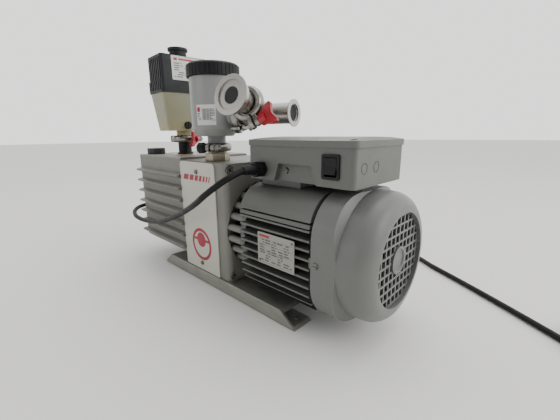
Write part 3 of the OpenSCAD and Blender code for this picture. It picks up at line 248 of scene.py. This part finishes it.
def plastic(name, colour, rough=0.5, grain=0.3, coat=0.0, dust=0.12, shine=0.5):
    """Moulded plastic or rubber with a fine texture and a little dust on top."""
    f = Finish(name)
    base = f.mix(f.noise(45, 3), shade_of(colour, 0.85), shade_of(colour, 1.2))
    up = f.node("SeparateXYZ", {0: f.node("NewGeometry").outputs["Normal"]}).outputs["Z"]
    settled = f.math("MULTIPLY", f.ramp(up, 0.3, 1.0), f.ramp(f.noise(240, 5), 0.4, 0.7))
    base = f.mix(f.math("MULTIPLY", settled, dust), base, (0.45, 0.44, 0.42))
    f.set(
        Base_Color=base, Coat_Weight=coat, Specular_IOR_Level=shine,
        Roughness=f.ramp(f.noise(90, 4), 0.3, 0.7, rough - 0.06, rough + 0.08),
        Normal=f.bump(f.noise(1700, 2), 0.04 * MM, grain),
    )
    return f.material


def floor_finish():
    f = Finish("floor_pale")
    base = f.mix(f.noise(1.6, 4), (0.78, 0.775, 0.75), (0.82, 0.815, 0.79))
    f.set(Base_Color=base, Roughness=0.6, Normal=f.bump(f.noise(160, 3), 0.1 * MM, 0.15))
    return f.material


def layered(name, colour, pitch, axis, rough=0.4, metallic=1.0):
    """Stacked sheets or windings: fine lines across one axis."""
    f = Finish(name)
    along = f.node("SeparateXYZ", {0: f.place}).outputs[axis]
    lines = f.math("SINE", f.math("MULTIPLY", along, 2 * math.pi / pitch), 0.0)
    base = f.mix(f.ramp(lines, -1, 1), shade_of(colour, 0.55), colour)
    base = f.mix(f.math("MULTIPLY", f.noise(50, 4), 0.3), base, shade_of(colour, 0.4))
    f.set(Base_Color=base, Metallic=metallic, Roughness=rough, Normal=f.bump(lines, 0.15 * MM, 0.6))
    return f.material


def felt(name, colour):
    """Pressed fibres, with a soft sheen."""
    f = Finish(name)
    threads = f.noise(800, 6, (1, 1, 0.3), 0.7)
    base = f.mix(threads, shade_of(colour, 0.7), colour)
    f.set(Base_Color=base, Roughness=0.95, Sheen_Weight=0.3, Normal=f.bump(threads, 0.4 * MM, 0.7))
    return f.material


def oily_glass(name, colour):
    """Clear glass with oil on its inner face."""
    f = Finish(name)
    base = f.mix(f.ramp(f.noise(30, 3), 0.4, 0.6), colour, shade_of(colour, 0.85))
    f.set(Base_Color=base, Roughness=0.06, IOR=1.5, Transmission_Weight=0.9)
    f.set(Normal=f.bump(f.noise(90, 2), 0.05 * MM, 0.2))
    return f.material


def stained_bowl(name, colour):
    """Translucent plastic, yellowed by oil, darker towards its foot."""
    f = Finish(name)
    height = f.node("SeparateXYZ", {0: f.place}).outputs["Z"]
    low, high = (v.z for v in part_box("filter_bowl"))
    foot = f.ramp(height, low + 0.2 * (high - low), low + 0.5 * (high - low), 0.55, 0.0)
    foot = f.math("ADD", foot, f.ramp(f.noise(38, 4), 0.45, 0.75, 0.0, 0.35))
    base = f.mix(foot, colour, (0.62, 0.52, 0.26))
    f.set(
        Base_Color=base, Transmission_Weight=0.35, IOR=1.46, Subsurface_Weight=0.35,
        Subsurface_Radius=(0.02, 0.018, 0.01), Subsurface_Scale=1.0,
        Roughness=f.ramp(f.noise(70, 4), 0.3, 0.7, 0.28, 0.42),
        Normal=f.bump(f.noise(300, 3), 0.08 * MM, 0.3),
    )
    return f.material


def woven(name, colour, pitch):
    """Fine wire cloth: two crossed sets of wires, with painted shade in the gaps between them."""
    f = Finish(name)
    axes = f.node("SeparateXYZ", {0: f.place}).outputs
    across = f.math("SINE", f.math("MULTIPLY", f.math("ADD", axes["X"], axes["Y"]), 2 * math.pi / pitch), 0.0)
    upward = f.math("SINE", f.math("MULTIPLY", axes["Z"], 2 * math.pi / pitch), 0.0)
    wires = f.math("MAXIMUM", across, upward)
    # Painted shade: the gaps between the wires are darkened to stand for the shaded inside of the tee seen
    # through the cloth.
    base = f.mix(f.ramp(wires, -0.2, 0.7), shade_of(colour, 0.15), colour)
    f.set(Base_Color=base, Metallic=0.6, Roughness=0.45, Normal=f.bump(wires, 0.2 * MM, 0.6))
    return f.material


def make_finishes():
    # Painted and metal finishes darken their crevices with painted shade; the strength given after wear in
    # painted, and after grain in metal, sets how much.
    return {
        "casting": painted("casting_paint", (0.205, 0.20, 0.178), 0.48, cast=0.5, crevice_shade_strength=0.85),
        "motor": painted("motor_paint", (0.128, 0.133, 0.120), 0.42, cast=0.18, crevice_shade_strength=0.45),
        "cowl": painted("cowl_paint", (0.160, 0.165, 0.156), 0.38, wear=0.5, crevice_shade_strength=0.6),
        "plate": painted("plate_paint", (0.58, 0.57, 0.50), 0.35, wear=0.15, crevice_shade_strength=0.35),
        "trap": painted("trap_paint", (0.27, 0.275, 0.27), 0.34, wear=0.3, crevice_shade_strength=0.45),
        "red": painted("red_print", (0.36, 0.008, 0.035), 0.4, wear=0.0, crevice_shade_strength=0.1),
        "rail": metal("rail_alloy", (0.38, 0.38, 0.345), 0.55, (0.1, 1, 1), 0.3, 0.3, 0.35),
        "iron": metal("machined_iron", (0.30, 0.31, 0.32), 0.42, (4, 1, 1), 0.3),
        "steel": metal("machined_steel", (0.55, 0.56, 0.58), 0.28, (6, 1, 1), 0.12),
        "alloy": metal("cast_alloy", (0.60, 0.61, 0.62), 0.45, None, 0.25, 0.5),
        "polished": metal("polished_steel", (0.30, 0.29, 0.27), 0.3, None, 0.4, 0.05, 0.9),
        "stainless": metal("brushed_stainless", (0.50, 0.49, 0.455), 0.36, None, 0.25, 0.05, 0.6),
        "black_screw": metal("grey_screw", (0.36, 0.36, 0.35), 0.42, None, 0.3, 0.15, 0.5),
        "zinc": metal("zinc_plate", (0.20, 0.20, 0.18), 0.38, None, 0.4, 0.15, 0.7),
        "brass": metal("dull_brass", (0.38, 0.345, 0.26), 0.34, None, 0.5, 0.12, 0.7),
        "black": plastic("black_plastic", (0.007, 0.007, 0.008), 0.42, dust=0.03, shine=0.3),
        "cap": plastic("cap_plastic", (0.006, 0.006, 0.008), 0.5, dust=0.02, shine=0.3),
        "dark_grey": plastic("dark_grey_plastic", (0.020, 0.0225, 0.024), 0.5, dust=0.05, shine=0.3),
        "grey_cap": plastic("grey_cap_plastic", (0.045, 0.048, 0.052), 0.5),
        "red_plastic": plastic("red_plastic", (0.36, 0.006, 0.018), 0.3, 0.15, 0.3, 0.05),
        "cord": plastic("cord_rubber", (0.008, 0.008, 0.0078), 0.5, 0.4, dust=0.03, shine=0.22),
        "seal": plastic("seal_rubber", (0.02, 0.02, 0.02), 0.6),
        "spider": plastic("spider_rubber", (0.30, 0.03, 0.02), 0.6),
        "vane": plastic("vane_composite", (0.16, 0.10, 0.06), 0.5, 0.5, 0.0, 0.0),
        "bowl": stained_bowl("yellowed_bowl", (0.45, 0.445, 0.31)),
        "glass": oily_glass("sight_glass", (0.86, 0.82, 0.62)),
        "core": layered("core_sheets", (0.34, 0.35, 0.37), 0.7 * MM, "X"),
        "winding": layered("copper_winding", (0.50, 0.20, 0.07), 1.0 * MM, "X", 0.3, 0.6),
        "felt": felt("filter_felt", (0.72, 0.69, 0.60)),
        "label": painted("silver_label", (0.34, 0.34, 0.30), 0.34, wear=0.2, crevice_shade_strength=0.2),
        "paper": painted("white_label", (0.66, 0.66, 0.64), 0.45, wear=0.0, crevice_shade_strength=0.15),
        "ink": plastic("label_ink", (0.10, 0.10, 0.105), 0.5, 0.1, 0.0, 0.0),
        "screen": woven("wire_screen", (0.050, 0.052, 0.055), 0.9 * MM),
        "amber": plastic("amber_oil", (0.50, 0.32, 0.09), 0.3, 0.2, 0.2, 0.0),
        "tie": plastic("tie_plastic", (0.03, 0.03, 0.03), 0.45, 0.3),
    }


# ---------- CAD nodes that stay shown ----------

# Each finish with the CAD nodes that wear it and the rounding of their edges in millimetres
NODE_FINISH = {
    "casting": {"pump_body": 1.0, "oil_box": 0.9},
    "motor": {"motor_frame": 0.7, "drive_end_shield": 0.8, "rear_end_shield": 0.8,
              "terminal_box": 1.2, "terminal_box_lid": 1.2},
    "cowl": {"fan_cowl": 0.35},
    "plate": {"side_plates": 0.6},
    "trap": {"trap_body": 0.8},
    "rail": {"base_rails": 0.8},
    "iron": {"hv_stator": 0.5, "lv_stator": 0.5, "intermediate_plate": 0.5, "end_plate": 0.5},
    "steel": {"exhaust_valve": 0.2, "hv_rotor": 0.3, "lv_rotor": 0.3, "vane_springs": 0,
              "motor_shaft": 0.4, "motor_bearings": 0.2},
    "alloy": {"coupling_hubs": 0.6, "capacitor": 0.8},
    "stainless": {"tee_piece": 0.35, "branch_adaptor": 0.35, "centring_rings": 0.2},
    "black_screw": {"housing_screws": 0.3},
    "zinc": {"cover_screws": 0.2},
    "brass": {"inlet_adaptor": 0.6, "drain_plug": 0.6},
    "black": {"gas_ballast_knob": 1.0, "switch_body": 0.5, "rocker": 0.6, "cord_gland": 0.6,
              "inlet_knob": 1.0, "outlet_tube": 0.4},
    "cap": {"trap_cap": 0.5},
    "dark_grey": {"filter_cover": 1.2},
    "grey_cap": {"filler_cap": 0.8, "cooling_fan": 0.4},
    "red_plastic": {"branch_nut": 0.9, "outlet_nut": 0.9},
    "seal": {"shaft_seal": 0.3},
    "spider": {"coupling_spider": 0.6},
    "vane": {"hv_vane_a": 0.3, "hv_vane_b": 0.3, "lv_vane_a": 0.3, "lv_vane_b": 0.3},
    "bowl": {"filter_bowl": 1.0},
    "glass": {"sight_glass": 0.4},
    "core": {"stator_core": 0.2, "rotor_core": 0.2},
    "winding": {"stator_windings": 0},
    "felt": {"trap_element": 0.8, "filter_element": 0.8},
    "label": {"nameplate": 0.2},
    "cord": {"power_plug": 0.8},
}


def soften(piece, width):
    """Rounds a piece's sharp edges and evens its shading, with modifiers only."""
    weld = piece.modifiers.new("weld", "WELD")
    weld.merge_threshold = 0.01 * MM
    if width:
        bevel = piece.modifiers.new("bevel", "BEVEL")
        bevel.width = width * MM
        bevel.segments = 2
        bevel.limit_method = "ANGLE"
        bevel.angle_limit = math.radians(32)
        bevel.miter_outer = "MITER_ARC"
    shading = piece.modifiers.new("shading", "WEIGHTED_NORMAL")
    shading.weight = 60
    shading.keep_sharp = True


def dress_nodes(finishes):
    for finish, widths in NODE_FINISH.items():
        for node, width in widths.items():
            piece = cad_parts[node]
            piece.data.materials.clear()
            piece.data.materials.append(finishes[finish])
            soften(piece, width)


# ---------- mesh kit ----------

def add_piece(name, mesh, finish, body, replaces=(), smooth=35):
    """Puts a finished mesh in the scene, riding on a body."""
    mesh.shade_smooth()
    mesh.set_sharp_from_angle(angle=math.radians(smooth))
    piece = bpy.data.objects.new(name, mesh)
    bpy.context.scene.collection.objects.link(piece)
    mesh.materials.append(finish)
    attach(piece, body)
    if replaces:
        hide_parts(*replaces)
    return piece


# ---------- mains cord ----------

CORD_DIAMETER = 9 * MM
# The same route as the CAD's, in millimetres
CORD_ROUTE = [
    (98, -100, 224), (98, -113, 221), (93, -127, 214), (81, -138, 203), (64, -143, 191),
    (42, -142, 178), (8, -137, 162), (-30, -129, 147), (-74, -122, 131), (-120, -116, 115),
    (-168, -112, 102), (-214, -109, 94), (-256, -109, 92), (-289, -106, 95), (-314, -93, 101),
    (-326, -70, 105), (-321, -44, 106), (-307, -20, 105), (-300, 6, 103), (-301, 32, 94),
    (-305, 60, 77), (-305, 86, 55), (-296, 111, 33), (-277, 134, 15), (-252, 154, 6),
    (-220, 173, 4.7), (-178, 196, 4.7), (-132, 222, 4.7), (-84, 248, 4.7), (-32, 275, 4.7),
    (24, 298, 4.7), (80, 313, 4.7), (132, 317, 4.7), (176, 311, 4.7), (212, 297, 4.7),
    (250, 271, 4.7), (300, 241, 4.7), (360, 204, 4.7), (420, 165, 4.7), (470, 131, 4.7),
]


def coil_points():
    """The stored turns: three rings outside to inside, then three back out on top of them."""
    low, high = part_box("cord_coil")
    centre = (low + high) / 2
    outer = (high.x - low.x) / 2 - CORD_DIAMETER / 2
    steps = 16
    start = math.radians(236)
    turns = 4 + (2 * math.pi - start) / (2 * math.pi)
    points = []
    for i in range(round(turns * steps) + 1):
        done = i / steps
        radius = outer - CORD_DIAMETER * (done if done < 2 else max(4 - done, 0))
        rise = min(max((done - 1.8) / 0.4, 0), 1)
        height = CORD_DIAMETER / 2 + 0.2 * MM + CORD_DIAMETER * rise * rise * (3 - 2 * rise)
        angle = start + done * 2 * math.pi
        across, along = radius * math.cos(angle), radius * math.sin(angle)
        points.append(Vector((centre.x + across, centre.y + along, height)))
    return points


def smooth_curve(name, points, radius, finish):
    """A round cord along the points, smooth between them."""
    data = bpy.data.curves.new(name, "CURVE")
    data.dimensions = "3D"
    data.bevel_depth = radius
    data.bevel_resolution = 5
    data.resolution_u = 6
    data.use_fill_caps = True
    spline = data.splines.new("BEZIER")
    spline.bezier_points.add(len(points) - 1)
    for knot, point in zip(spline.bezier_points, points):
        knot.co = point
        knot.handle_left_type = knot.handle_right_type = "AUTO"
    data.materials.append(finish)
    curve = bpy.data.objects.new(name, data)
    bpy.context.scene.collection.objects.link(curve)
    return curve


def make_cord(finishes):
    coil = coil_points()
    low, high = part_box("power_plug")
    middle = (low + high) / 2
    tail = [Vector((middle.x, low.y + 4 * MM, middle.z))]
    points = [Vector(p) * MM for p in CORD_ROUTE] + coil + tail
    cord = smooth_curve("mains_cord", points, CORD_DIAMETER / 2, finishes["cord"])
    tie = make_coil_tie(finishes)
    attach(cord, "casing")
    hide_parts("power_cord", "cord_coil")


# ---------- mesh from loops ----------

class Build:
    """A mesh under construction, in millimetres, put in place by a matrix in metres."""

    def __init__(self):
        self.bm = bmesh.new()

    def loft(self, rings, closed=False, caps=True):
        """Skin through rings of points, closed into a loop or with its two ends filled."""
        loops = [[self.bm.verts.new(p) for p in ring] for ring in rings]
        pairs = list(zip(loops, loops[1:]))
        if closed:
            pairs.append((loops[-1], loops[0]))
        for a, b in pairs:
            for k in range(len(a)):
                self.bm.faces.new((a[k], a[k - 1], b[k - 1], b[k]))
        if caps and not closed:
            self.bm.faces.new(loops[0])
            self.bm.faces.new(reversed(loops[-1]))

    def lathe(self, profile, place=Matrix(), steps=48):
        """A closed profile of (radius, height) turned about the local Z axis."""
        self.arc_sweep(profile, 0, 360, place, steps)

    def arc_sweep(self, profile, start, end, place=Matrix(), steps=48):
        """A closed profile of (radius, height) swept about the local Z axis between two angles."""
        whole = abs(end - start) >= 360
        rings = []
        for i in range(steps if whole else steps + 1):
            angle = math.radians(start + (end - start) * i / steps)
            rings.append([place @ Vector((r * math.cos(angle), r * math.sin(angle), h)) for r, h in profile])
        self.loft(rings, closed=whole)

    def slab(self, outline, low, high, place=Matrix()):
        """A flat outline pushed along the local Z axis."""
        self.loft([[place @ Vector((x, y, h)) for x, y in outline] for h in (low, high)])

    def finish(self, name):
        bmesh.ops.recalc_face_normals(self.bm, faces=self.bm.faces)
        bmesh.ops.scale(self.bm, vec=(MM, MM, MM), verts=self.bm.verts)
        mesh = bpy.data.meshes.new(name)
        self.bm.to_mesh(mesh)
        self.bm.free()
        return mesh


def circle(radius, steps=48, centre=(0, 0)):
    angles = [2 * math.pi * i / steps for i in range(steps)]
    return [(centre[0] + radius * math.cos(a), centre[1] + radius * math.sin(a)) for a in angles]


def rounded(width, height, radius, steps=5):
    """A rectangle with round corners about the origin."""
    points = []
    for quarter in range(4):
        sx, sy = ((1, 1), (-1, 1), (-1, -1), (1, -1))[quarter]
        for i in range(steps + 1):
            angle = math.radians(90 * (quarter + i / steps))
            points.append((
                sx * (width / 2 - radius) + radius * math.cos(angle),
                sy * (height / 2 - radius) + radius * math.sin(angle),
            ))
    return points


def turn(degrees, axis):
    return Matrix.Rotation(math.radians(degrees), 4, axis)


def shift(*place):
    return Matrix.Translation(place)


def bevelled(piece, width, segments=2):
    """Rounds the sharp edges of a finished piece."""
    bevel = piece.modifiers.new("bevel", "BEVEL")
    bevel.width = width * MM
    bevel.segments = segments
    bevel.limit_method = "ANGLE"
    bevel.angle_limit = math.radians(32)
    shading = piece.modifiers.new("shading", "WEIGHTED_NORMAL")
    shading.keep_sharp = True


# ---------- places on the pump, in millimetres ----------

TRAP_AXIS = (-36, -46)
OUTLET_AXIS = (-202, -14)
FILTER_TURN = -4.5
# Places of the four clamps: flange centre, and local Z along the flanges, X towards the grip screw
RUN = shift(*TRAP_AXIS, 304.4) @ turn(12.4, "Z")
BRANCH = RUN @ shift(107, 0, 0) @ turn(90 - 13.7, "X") @ shift(0, 0, 50)
CLAMPS = {
    "inlet": shift(*TRAP_AXIS, 252) @ turn(-55, "Z"),
    "port": RUN @ shift(57, 0, 0) @ turn(90, "Y") @ turn(150, "Z"),
    "branch": BRANCH @ turn(-58, "Z") @ turn(180, "X"),
    "outlet": shift(*OUTLET_AXIS, 265) @ turn(32, "Z"),
}
GRIP_RADIUS = 34


# ---------- vacuum clamps ----------

# Half of a clamp's section as (radius, height): a rounded channel around two flange rims
CLAMP_SECTION = [(17.7, 6.6), (20.3, 2.9), (20.3, -2.9), (17.7, -6.6), (19.4, -7.3), (22.4, -6.9),
                 (24.6, -5.0), (25.5, -2.2), (25.5, 2.2), (24.6, 5.0), (22.4, 6.9), (19.4, 7.3)]


def make_clamp(name, place, finish):
    """Two hinged jaws, a hinge barrel behind, two lugs in front and the swing bolt through them."""
    clamp = Build()
    for start, end in ((5, 173), (187, 355)):
        clamp.arc_sweep(CLAMP_SECTION, start, end, place, 40)
    # Hinge: a link between two pins
    for side in (-1, 1):
        pin = place @ shift(-27.0, side * 4.2, 0)
        clamp.lathe([(0.1, -7), (2.6, -7), (3.2, -6.4), (3.2, 6.4), (2.6, 7), (0.1, 7)], pin, 20)
    clamp.slab(rounded(5.0, 13.5, 2.2), -2.4, 2.4, place @ shift(-28.4, 0, 0))
    # Lugs that the bolt draws together
    lug = [(23, -6), (31, -6.2), (37, -5), (39, -2.5), (39, 2.5), (37, 5), (31, 6.2), (23, 6)]
    for low, high in ((-7.6, -1.6), (1.6, 7.6)):
        clamp.slab(lug, low, high, place @ turn(-90, "X"))
    bolt = place @ shift(GRIP_RADIUS, 0, 0) @ turn(90, "X")
    clamp.lathe([(0.1, -12), (2.4, -12), (2.4, 19.6), (2.0, 20), (0.1, 20)], bolt, 20)
    clamp.slab(circle(4.9, 6), -12.2, -8.2, bolt)
    mesh = clamp.finish("clamp_" + name)
    piece = add_piece("clamp_" + name, mesh, finish, "casing", ("clamp_rings",))
    bevelled(piece, 0.5)


# ---------- printing ----------

def dashes(rows, width, height, fill, gap=0.5, seed=0):
    """Rows of short bars that stand for small print, as (left, right, bottom, top) about the centre."""
    cells = []
    pitch = height / rows
    for row in range(rows):
        top = height / 2 - row * pitch
        left = -width / 2
        word = 0
        while left < width / 2 - pitch:
            beat = math.sin(12.9898 * (row + 1) + 4.1414 * (word + 1) + seed)
            length = pitch * (1.5 + 1.3 * beat)
            right = min(left + length, width / 2)
            if math.sin(7.3 * row + 2.3 * word + seed) < fill:
                cells.append((left, right, top - pitch * (1 - gap), top))
            left = right + pitch * 0.55
            word += 1
    return cells


def stamp(name, cells, place, finish, body, height=(0.0, 0.12), bend=0):
    """Thin raised bars on a flat sheet, or on a drum of radius bend about the local Y axis."""
    print_bars = Build()

    def seat(x, y, h):
        if not bend:
            return place @ Vector((x, y, h))
        angle = x / bend
        return place @ Vector(((bend + h) * math.sin(angle), y, (bend + h) * math.cos(angle)))

    for left, right, bottom, top in cells:
        steps = max(1, math.ceil((right - left) / 4)) if bend else 1
        rings = []
        for i in range(steps + 1):
            x = left + (right - left) * i / steps
            corners = ((bottom, height[0]), (top, height[0]), (top, height[1]), (bottom, height[1]))
            rings.append([seat(x, y, h) for y, h in corners])
        print_bars.loft(rings)
    return add_piece(name, print_bars.finish(name), finish, body)


def on_side(x, y, z):
    """Frame for flat things on the pump's near side: X along the pump, Y up, Z outwards."""
    return shift(x, y, z) @ turn(90, "X")


def make_nameplate_print(finishes):
    low, high = (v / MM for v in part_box("nameplate"))
    middle = (low + high) / 2
    place = on_side(middle.x, low.y, middle.z)
    w, h = high.x - low.x, high.z - low.z
    rows = dashes(9, w - 8, h - 13, 0.55, seed=1.0)
    rows = [(a, b, c - 3, d - 3) for a, b, c, d in rows]
    rules = [(-w / 2 + 2.5, w / 2 - 2.5, y, y + 0.35) for y in (-h / 2 + 2.5, h / 2 - 9, -4, 6)]
    ink = finishes["ink"]
    stamp("nameplate_print", rows + rules, place, ink, "casing", (-0.1, 0.08))
    strip = [(-w / 2 + 3, -w / 2 + 24, h / 2 - 6.5, h / 2 - 3)]
    stamp("nameplate_strip", strip, place, finishes["red"], "casing", (-0.1, 0.10))
    for side in (-1, 1):
        rivet = Build()
        rivet.lathe([(0.1, -0.1), (1.8, -0.1), (1.6, 0.7), (0.9, 1.1), (0.1, 1.1)],
                    place @ shift(side * (w / 2 - 4), h / 2 - 4.5 if side > 0 else -h / 2 + 4.5, 0), 20)
        name = "nameplate_rivet_right" if side > 0 else "nameplate_rivet_left"
        add_piece(name, rivet.finish(name), finishes["zinc"], "casing")


def make_plate_motif(finishes, side):
    """Generic red marks on a white side plate: a row of slanted blocks and a rotor sign."""
    low, high = (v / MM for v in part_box("side_plates"))
    middle = (low + high) / 2
    y = low.y if side == NEAR else high.y
    place = shift(middle.x, y, 0) @ turn(0 if side == NEAR else 180, "Z") @ turn(90, "X")
    marks = Build()
    # Slanted blocks growing narrower, near the top of the plate that has no knob
    if side == NEAR:
        strip = place @ shift(0, high.z - 28, 0)
        left, slant = -44, 3.5
        for width in (16, 13, 10, 7.5, 5.5, 4, 3):
            block = [(left, -5), (left + width, -5), (left + width + slant, 5), (left + slant, 5)]
            marks.slab(block, -0.05, 0.12, strip)
            left += width + 4
    # Rotor sign: a ring, a smaller disc that touches it and a bar through the disc
    sign = place @ shift(2, low.z + 51, 0)
    ring = [(25, -0.05), (31, -0.05), (31, 0.12), (25, 0.12)]
    marks.lathe(ring, sign, 64)
    marks.slab(circle(14, 48, (0, 9)), -0.05, 0.12, sign)
    bar = [(-23.5, 6.5), (23.5, 6.5), (23.5, 11.5), (-23.5, 11.5)]
    marks.slab(bar, -0.04, 0.11, sign)
    name = "plate_marks_near" if side == NEAR else "plate_marks_far"
    add_piece(name, marks.finish(name), finishes["red"], "casing")


def make_trap_label(finishes):
    """A paper label round the trap's wall, with a bar pattern in its middle."""
    place = shift(*TRAP_AXIS, 306) @ turn(32, "Z") @ turn(90, "X")
    drum = 41.0
    sheet = [(-17, 17, -17, 15)]
    stamp("trap_label", sheet, place, finishes["paper"], "casing", (-0.2, 0.18), drum)
    bars = []
    left = -6.0
    for i in range(15):
        width = 0.35 + 0.45 * (math.sin(5.1 * i) > 0.1)
        bars.append((left, left + width, -9, 9))
        left += width + 0.4 + 0.25 * (i % 3 == 0)
    lines = [(a + 12.4, b + 12.4, c, d) for a, b, c, d in dashes(9, 7, 22, 0.8, seed=2)]
    note = [(a - 12.0, b - 12.0, c - 4, d - 4) for a, b, c, d in dashes(5, 7, 12, 0.9, seed=4)]
    stamp("trap_label_print", bars + lines + note, place, finishes["ink"], "casing",
          (0.1, 0.24), drum)
    stamp("trap_label_mark", [(-15.5, -9.5, 4, 11)], place, finishes["red"], "casing",
          (0.1, 0.25), drum)


def make_filter_label(finishes):
    """A paper label on the mist filter's broad face."""
    half_depth = 34
    middle = shift(*OUTLET_AXIS, 402.5) @ turn(FILTER_TURN, "Z")
    place = middle @ shift(half_depth, 0, 0) @ turn(90, "Z") @ turn(90, "X")
    width, height = 70, 45
    sheet = Build()
    sheet.slab(rounded(width, height, 2), -0.1, 0.2, place @ shift(4, 0, 0))
    add_piece("filter_label", sheet.finish("filter_label"), finishes["paper"], "casing")
    rows = [(a + 3, b + 3, c - 5, d - 5) for a, b, c, d in dashes(7, width - 12, height - 16, 0.4, 0.55, 3)]
    stamp("filter_label_print", rows, place, finishes["ink"], "casing", (0.1, 0.28))
    strip = [(-26, -19, 14, 18.5), (-16, 33, 15, 18)]
    stamp("filter_label_strip", strip, place, finishes["red"], "casing", (0.1, 0.3))


def make_outlet_stain(finishes):
    """Oil that has crept out around the outlet's foot."""
    centre = OUTLET_AXIS
    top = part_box("oil_box")[1].z / MM
    edge = []
    for i in range(72):
        angle = math.radians(i * 5)
        ripple = 2.6 * math.sin(3 * angle + 1) + 1.3 * math.sin(7 * angle)
        reach = 26 + ripple + 0.7 * math.sin(13 * angle + 2)
        edge.append((centre[0] + reach * math.cos(angle), centre[1] + reach * math.sin(angle)))
    inner = [(centre[0] + (x - centre[0]) * 0.93, centre[1] + (y - centre[1]) * 0.93) for x, y in edge]
    stain = Build()
    foot = [Vector((x, y, top - 0.2)) for x, y in edge]
    crown = [Vector((x, y, top + 0.5)) for x, y in inner]
    stain.loft([foot, crown])
    film = stain.finish("outlet_oil_film")
    add_piece("outlet_oil_film", film, finishes["amber"], "casing")


def make_coil_tie(finishes):
    """A strap round the stored turns, with its buckle on top."""
    low, high = (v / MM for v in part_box("cord_coil"))
    centre = (low + high) / 2
    outer = (high.x - low.x) / 2
    radial = outer - 13.5
    place = shift(centre.x, centre.y, 0) @ turn(75, "Z") @ shift(radial, 0, 9.2) @ turn(90, "X")
    outside, inside = rounded(30, 19.6, 4), rounded(28.2, 18.1, 3.4)
    tie = Build()
    edges = ((outside, -3), (outside, 3), (inside, 3), (inside, -3))
    tie.loft([[place @ Vector((x, y, h)) for x, y in loop] for loop, h in edges], closed=True)
    tie.slab(rounded(8, 4, 1), -4, 4, place @ shift(0, 9.6, 0))
    piece = add_piece("coil_tie", tie.finish("coil_tie"), finishes["tie"], "casing")
    bevelled(piece, 0.4)
    return piece


def make_screens(finishes):
    """Wire screens inside the tee's two open flanges."""
    places = {
        "screen_large": BRANCH @ shift(0, 0, 36.5),
        "screen_small": RUN @ shift(153.5, 0, 0) @ turn(90, "Y"),
    }
    for name, place in places.items():
        screen = Build()
        screen.slab(circle(12.38), -0.3, 0.3, place)
        add_piece(name, screen.finish(name), finishes["screen"], "casing")
        rim = Build()
        rim.lathe([(11.2, -0.6), (12.39, -0.6), (12.39, 0.9), (11.8, 0.9)], place)
        rim_mesh = rim.finish(name + "_rim")
        add_piece(name + "_rim", rim_mesh, finishes["stainless"], "casing")


def make_gland_grips(finishes):
    """Ribs that a hand turns the gland's nut by."""
    low, high = (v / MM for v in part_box("cord_gland"))
    axis_x, axis_z = (low.x + high.x) / 2, (low.z + high.z) / 2
    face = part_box("terminal_box")[0].y / MM
    place = shift(axis_x, face - 5.5, axis_z) @ turn(90, "X")
    grips = Build()
    for i in range(16):
        grips.slab(rounded(1.6, 1.8, 0.5, 2), 0, 11, place @ turn(i * 22.5, "Z") @ shift(10.2, 0, 0))
    add_piece("gland_grips", grips.finish("gland_grips"), finishes["black"], "casing")


def make_bowl_plug(finishes):
    """Black drain plug low on the filter bowl's side."""
    place = shift(*OUTLET_AXIS, 293) @ turn(FILTER_TURN, "Z") @ shift(27, -3.5, 0) @ turn(90, "Y")
    plug = Build()
    plug.lathe([(0.1, -2), (7.5, -2), (7.5, 5), (6.3, 6.2), (0.1, 6.2)], place, 32)
    plug.slab(rounded(9, 2.4, 0.6), 6, 7.6, place)
    add_piece("bowl_plug", plug.finish("bowl_plug"), finishes["black"], "casing")


make_camera()
finishes = make_finishes()
make_cord(finishes)
make_studio()
make_floor()
dress_nodes(finishes)
for clamp_name, clamp_place in CLAMPS.items():
    make_clamp(clamp_name, clamp_place, finishes["polished"])
make_nameplate_print(finishes)
for plate_side in (NEAR, FAR):
    make_plate_motif(finishes, plate_side)
make_trap_label(finishes)
make_filter_label(finishes)
make_outlet_stain(finishes)
make_screens(finishes)
make_gland_grips(finishes)
make_bowl_plug(finishes)
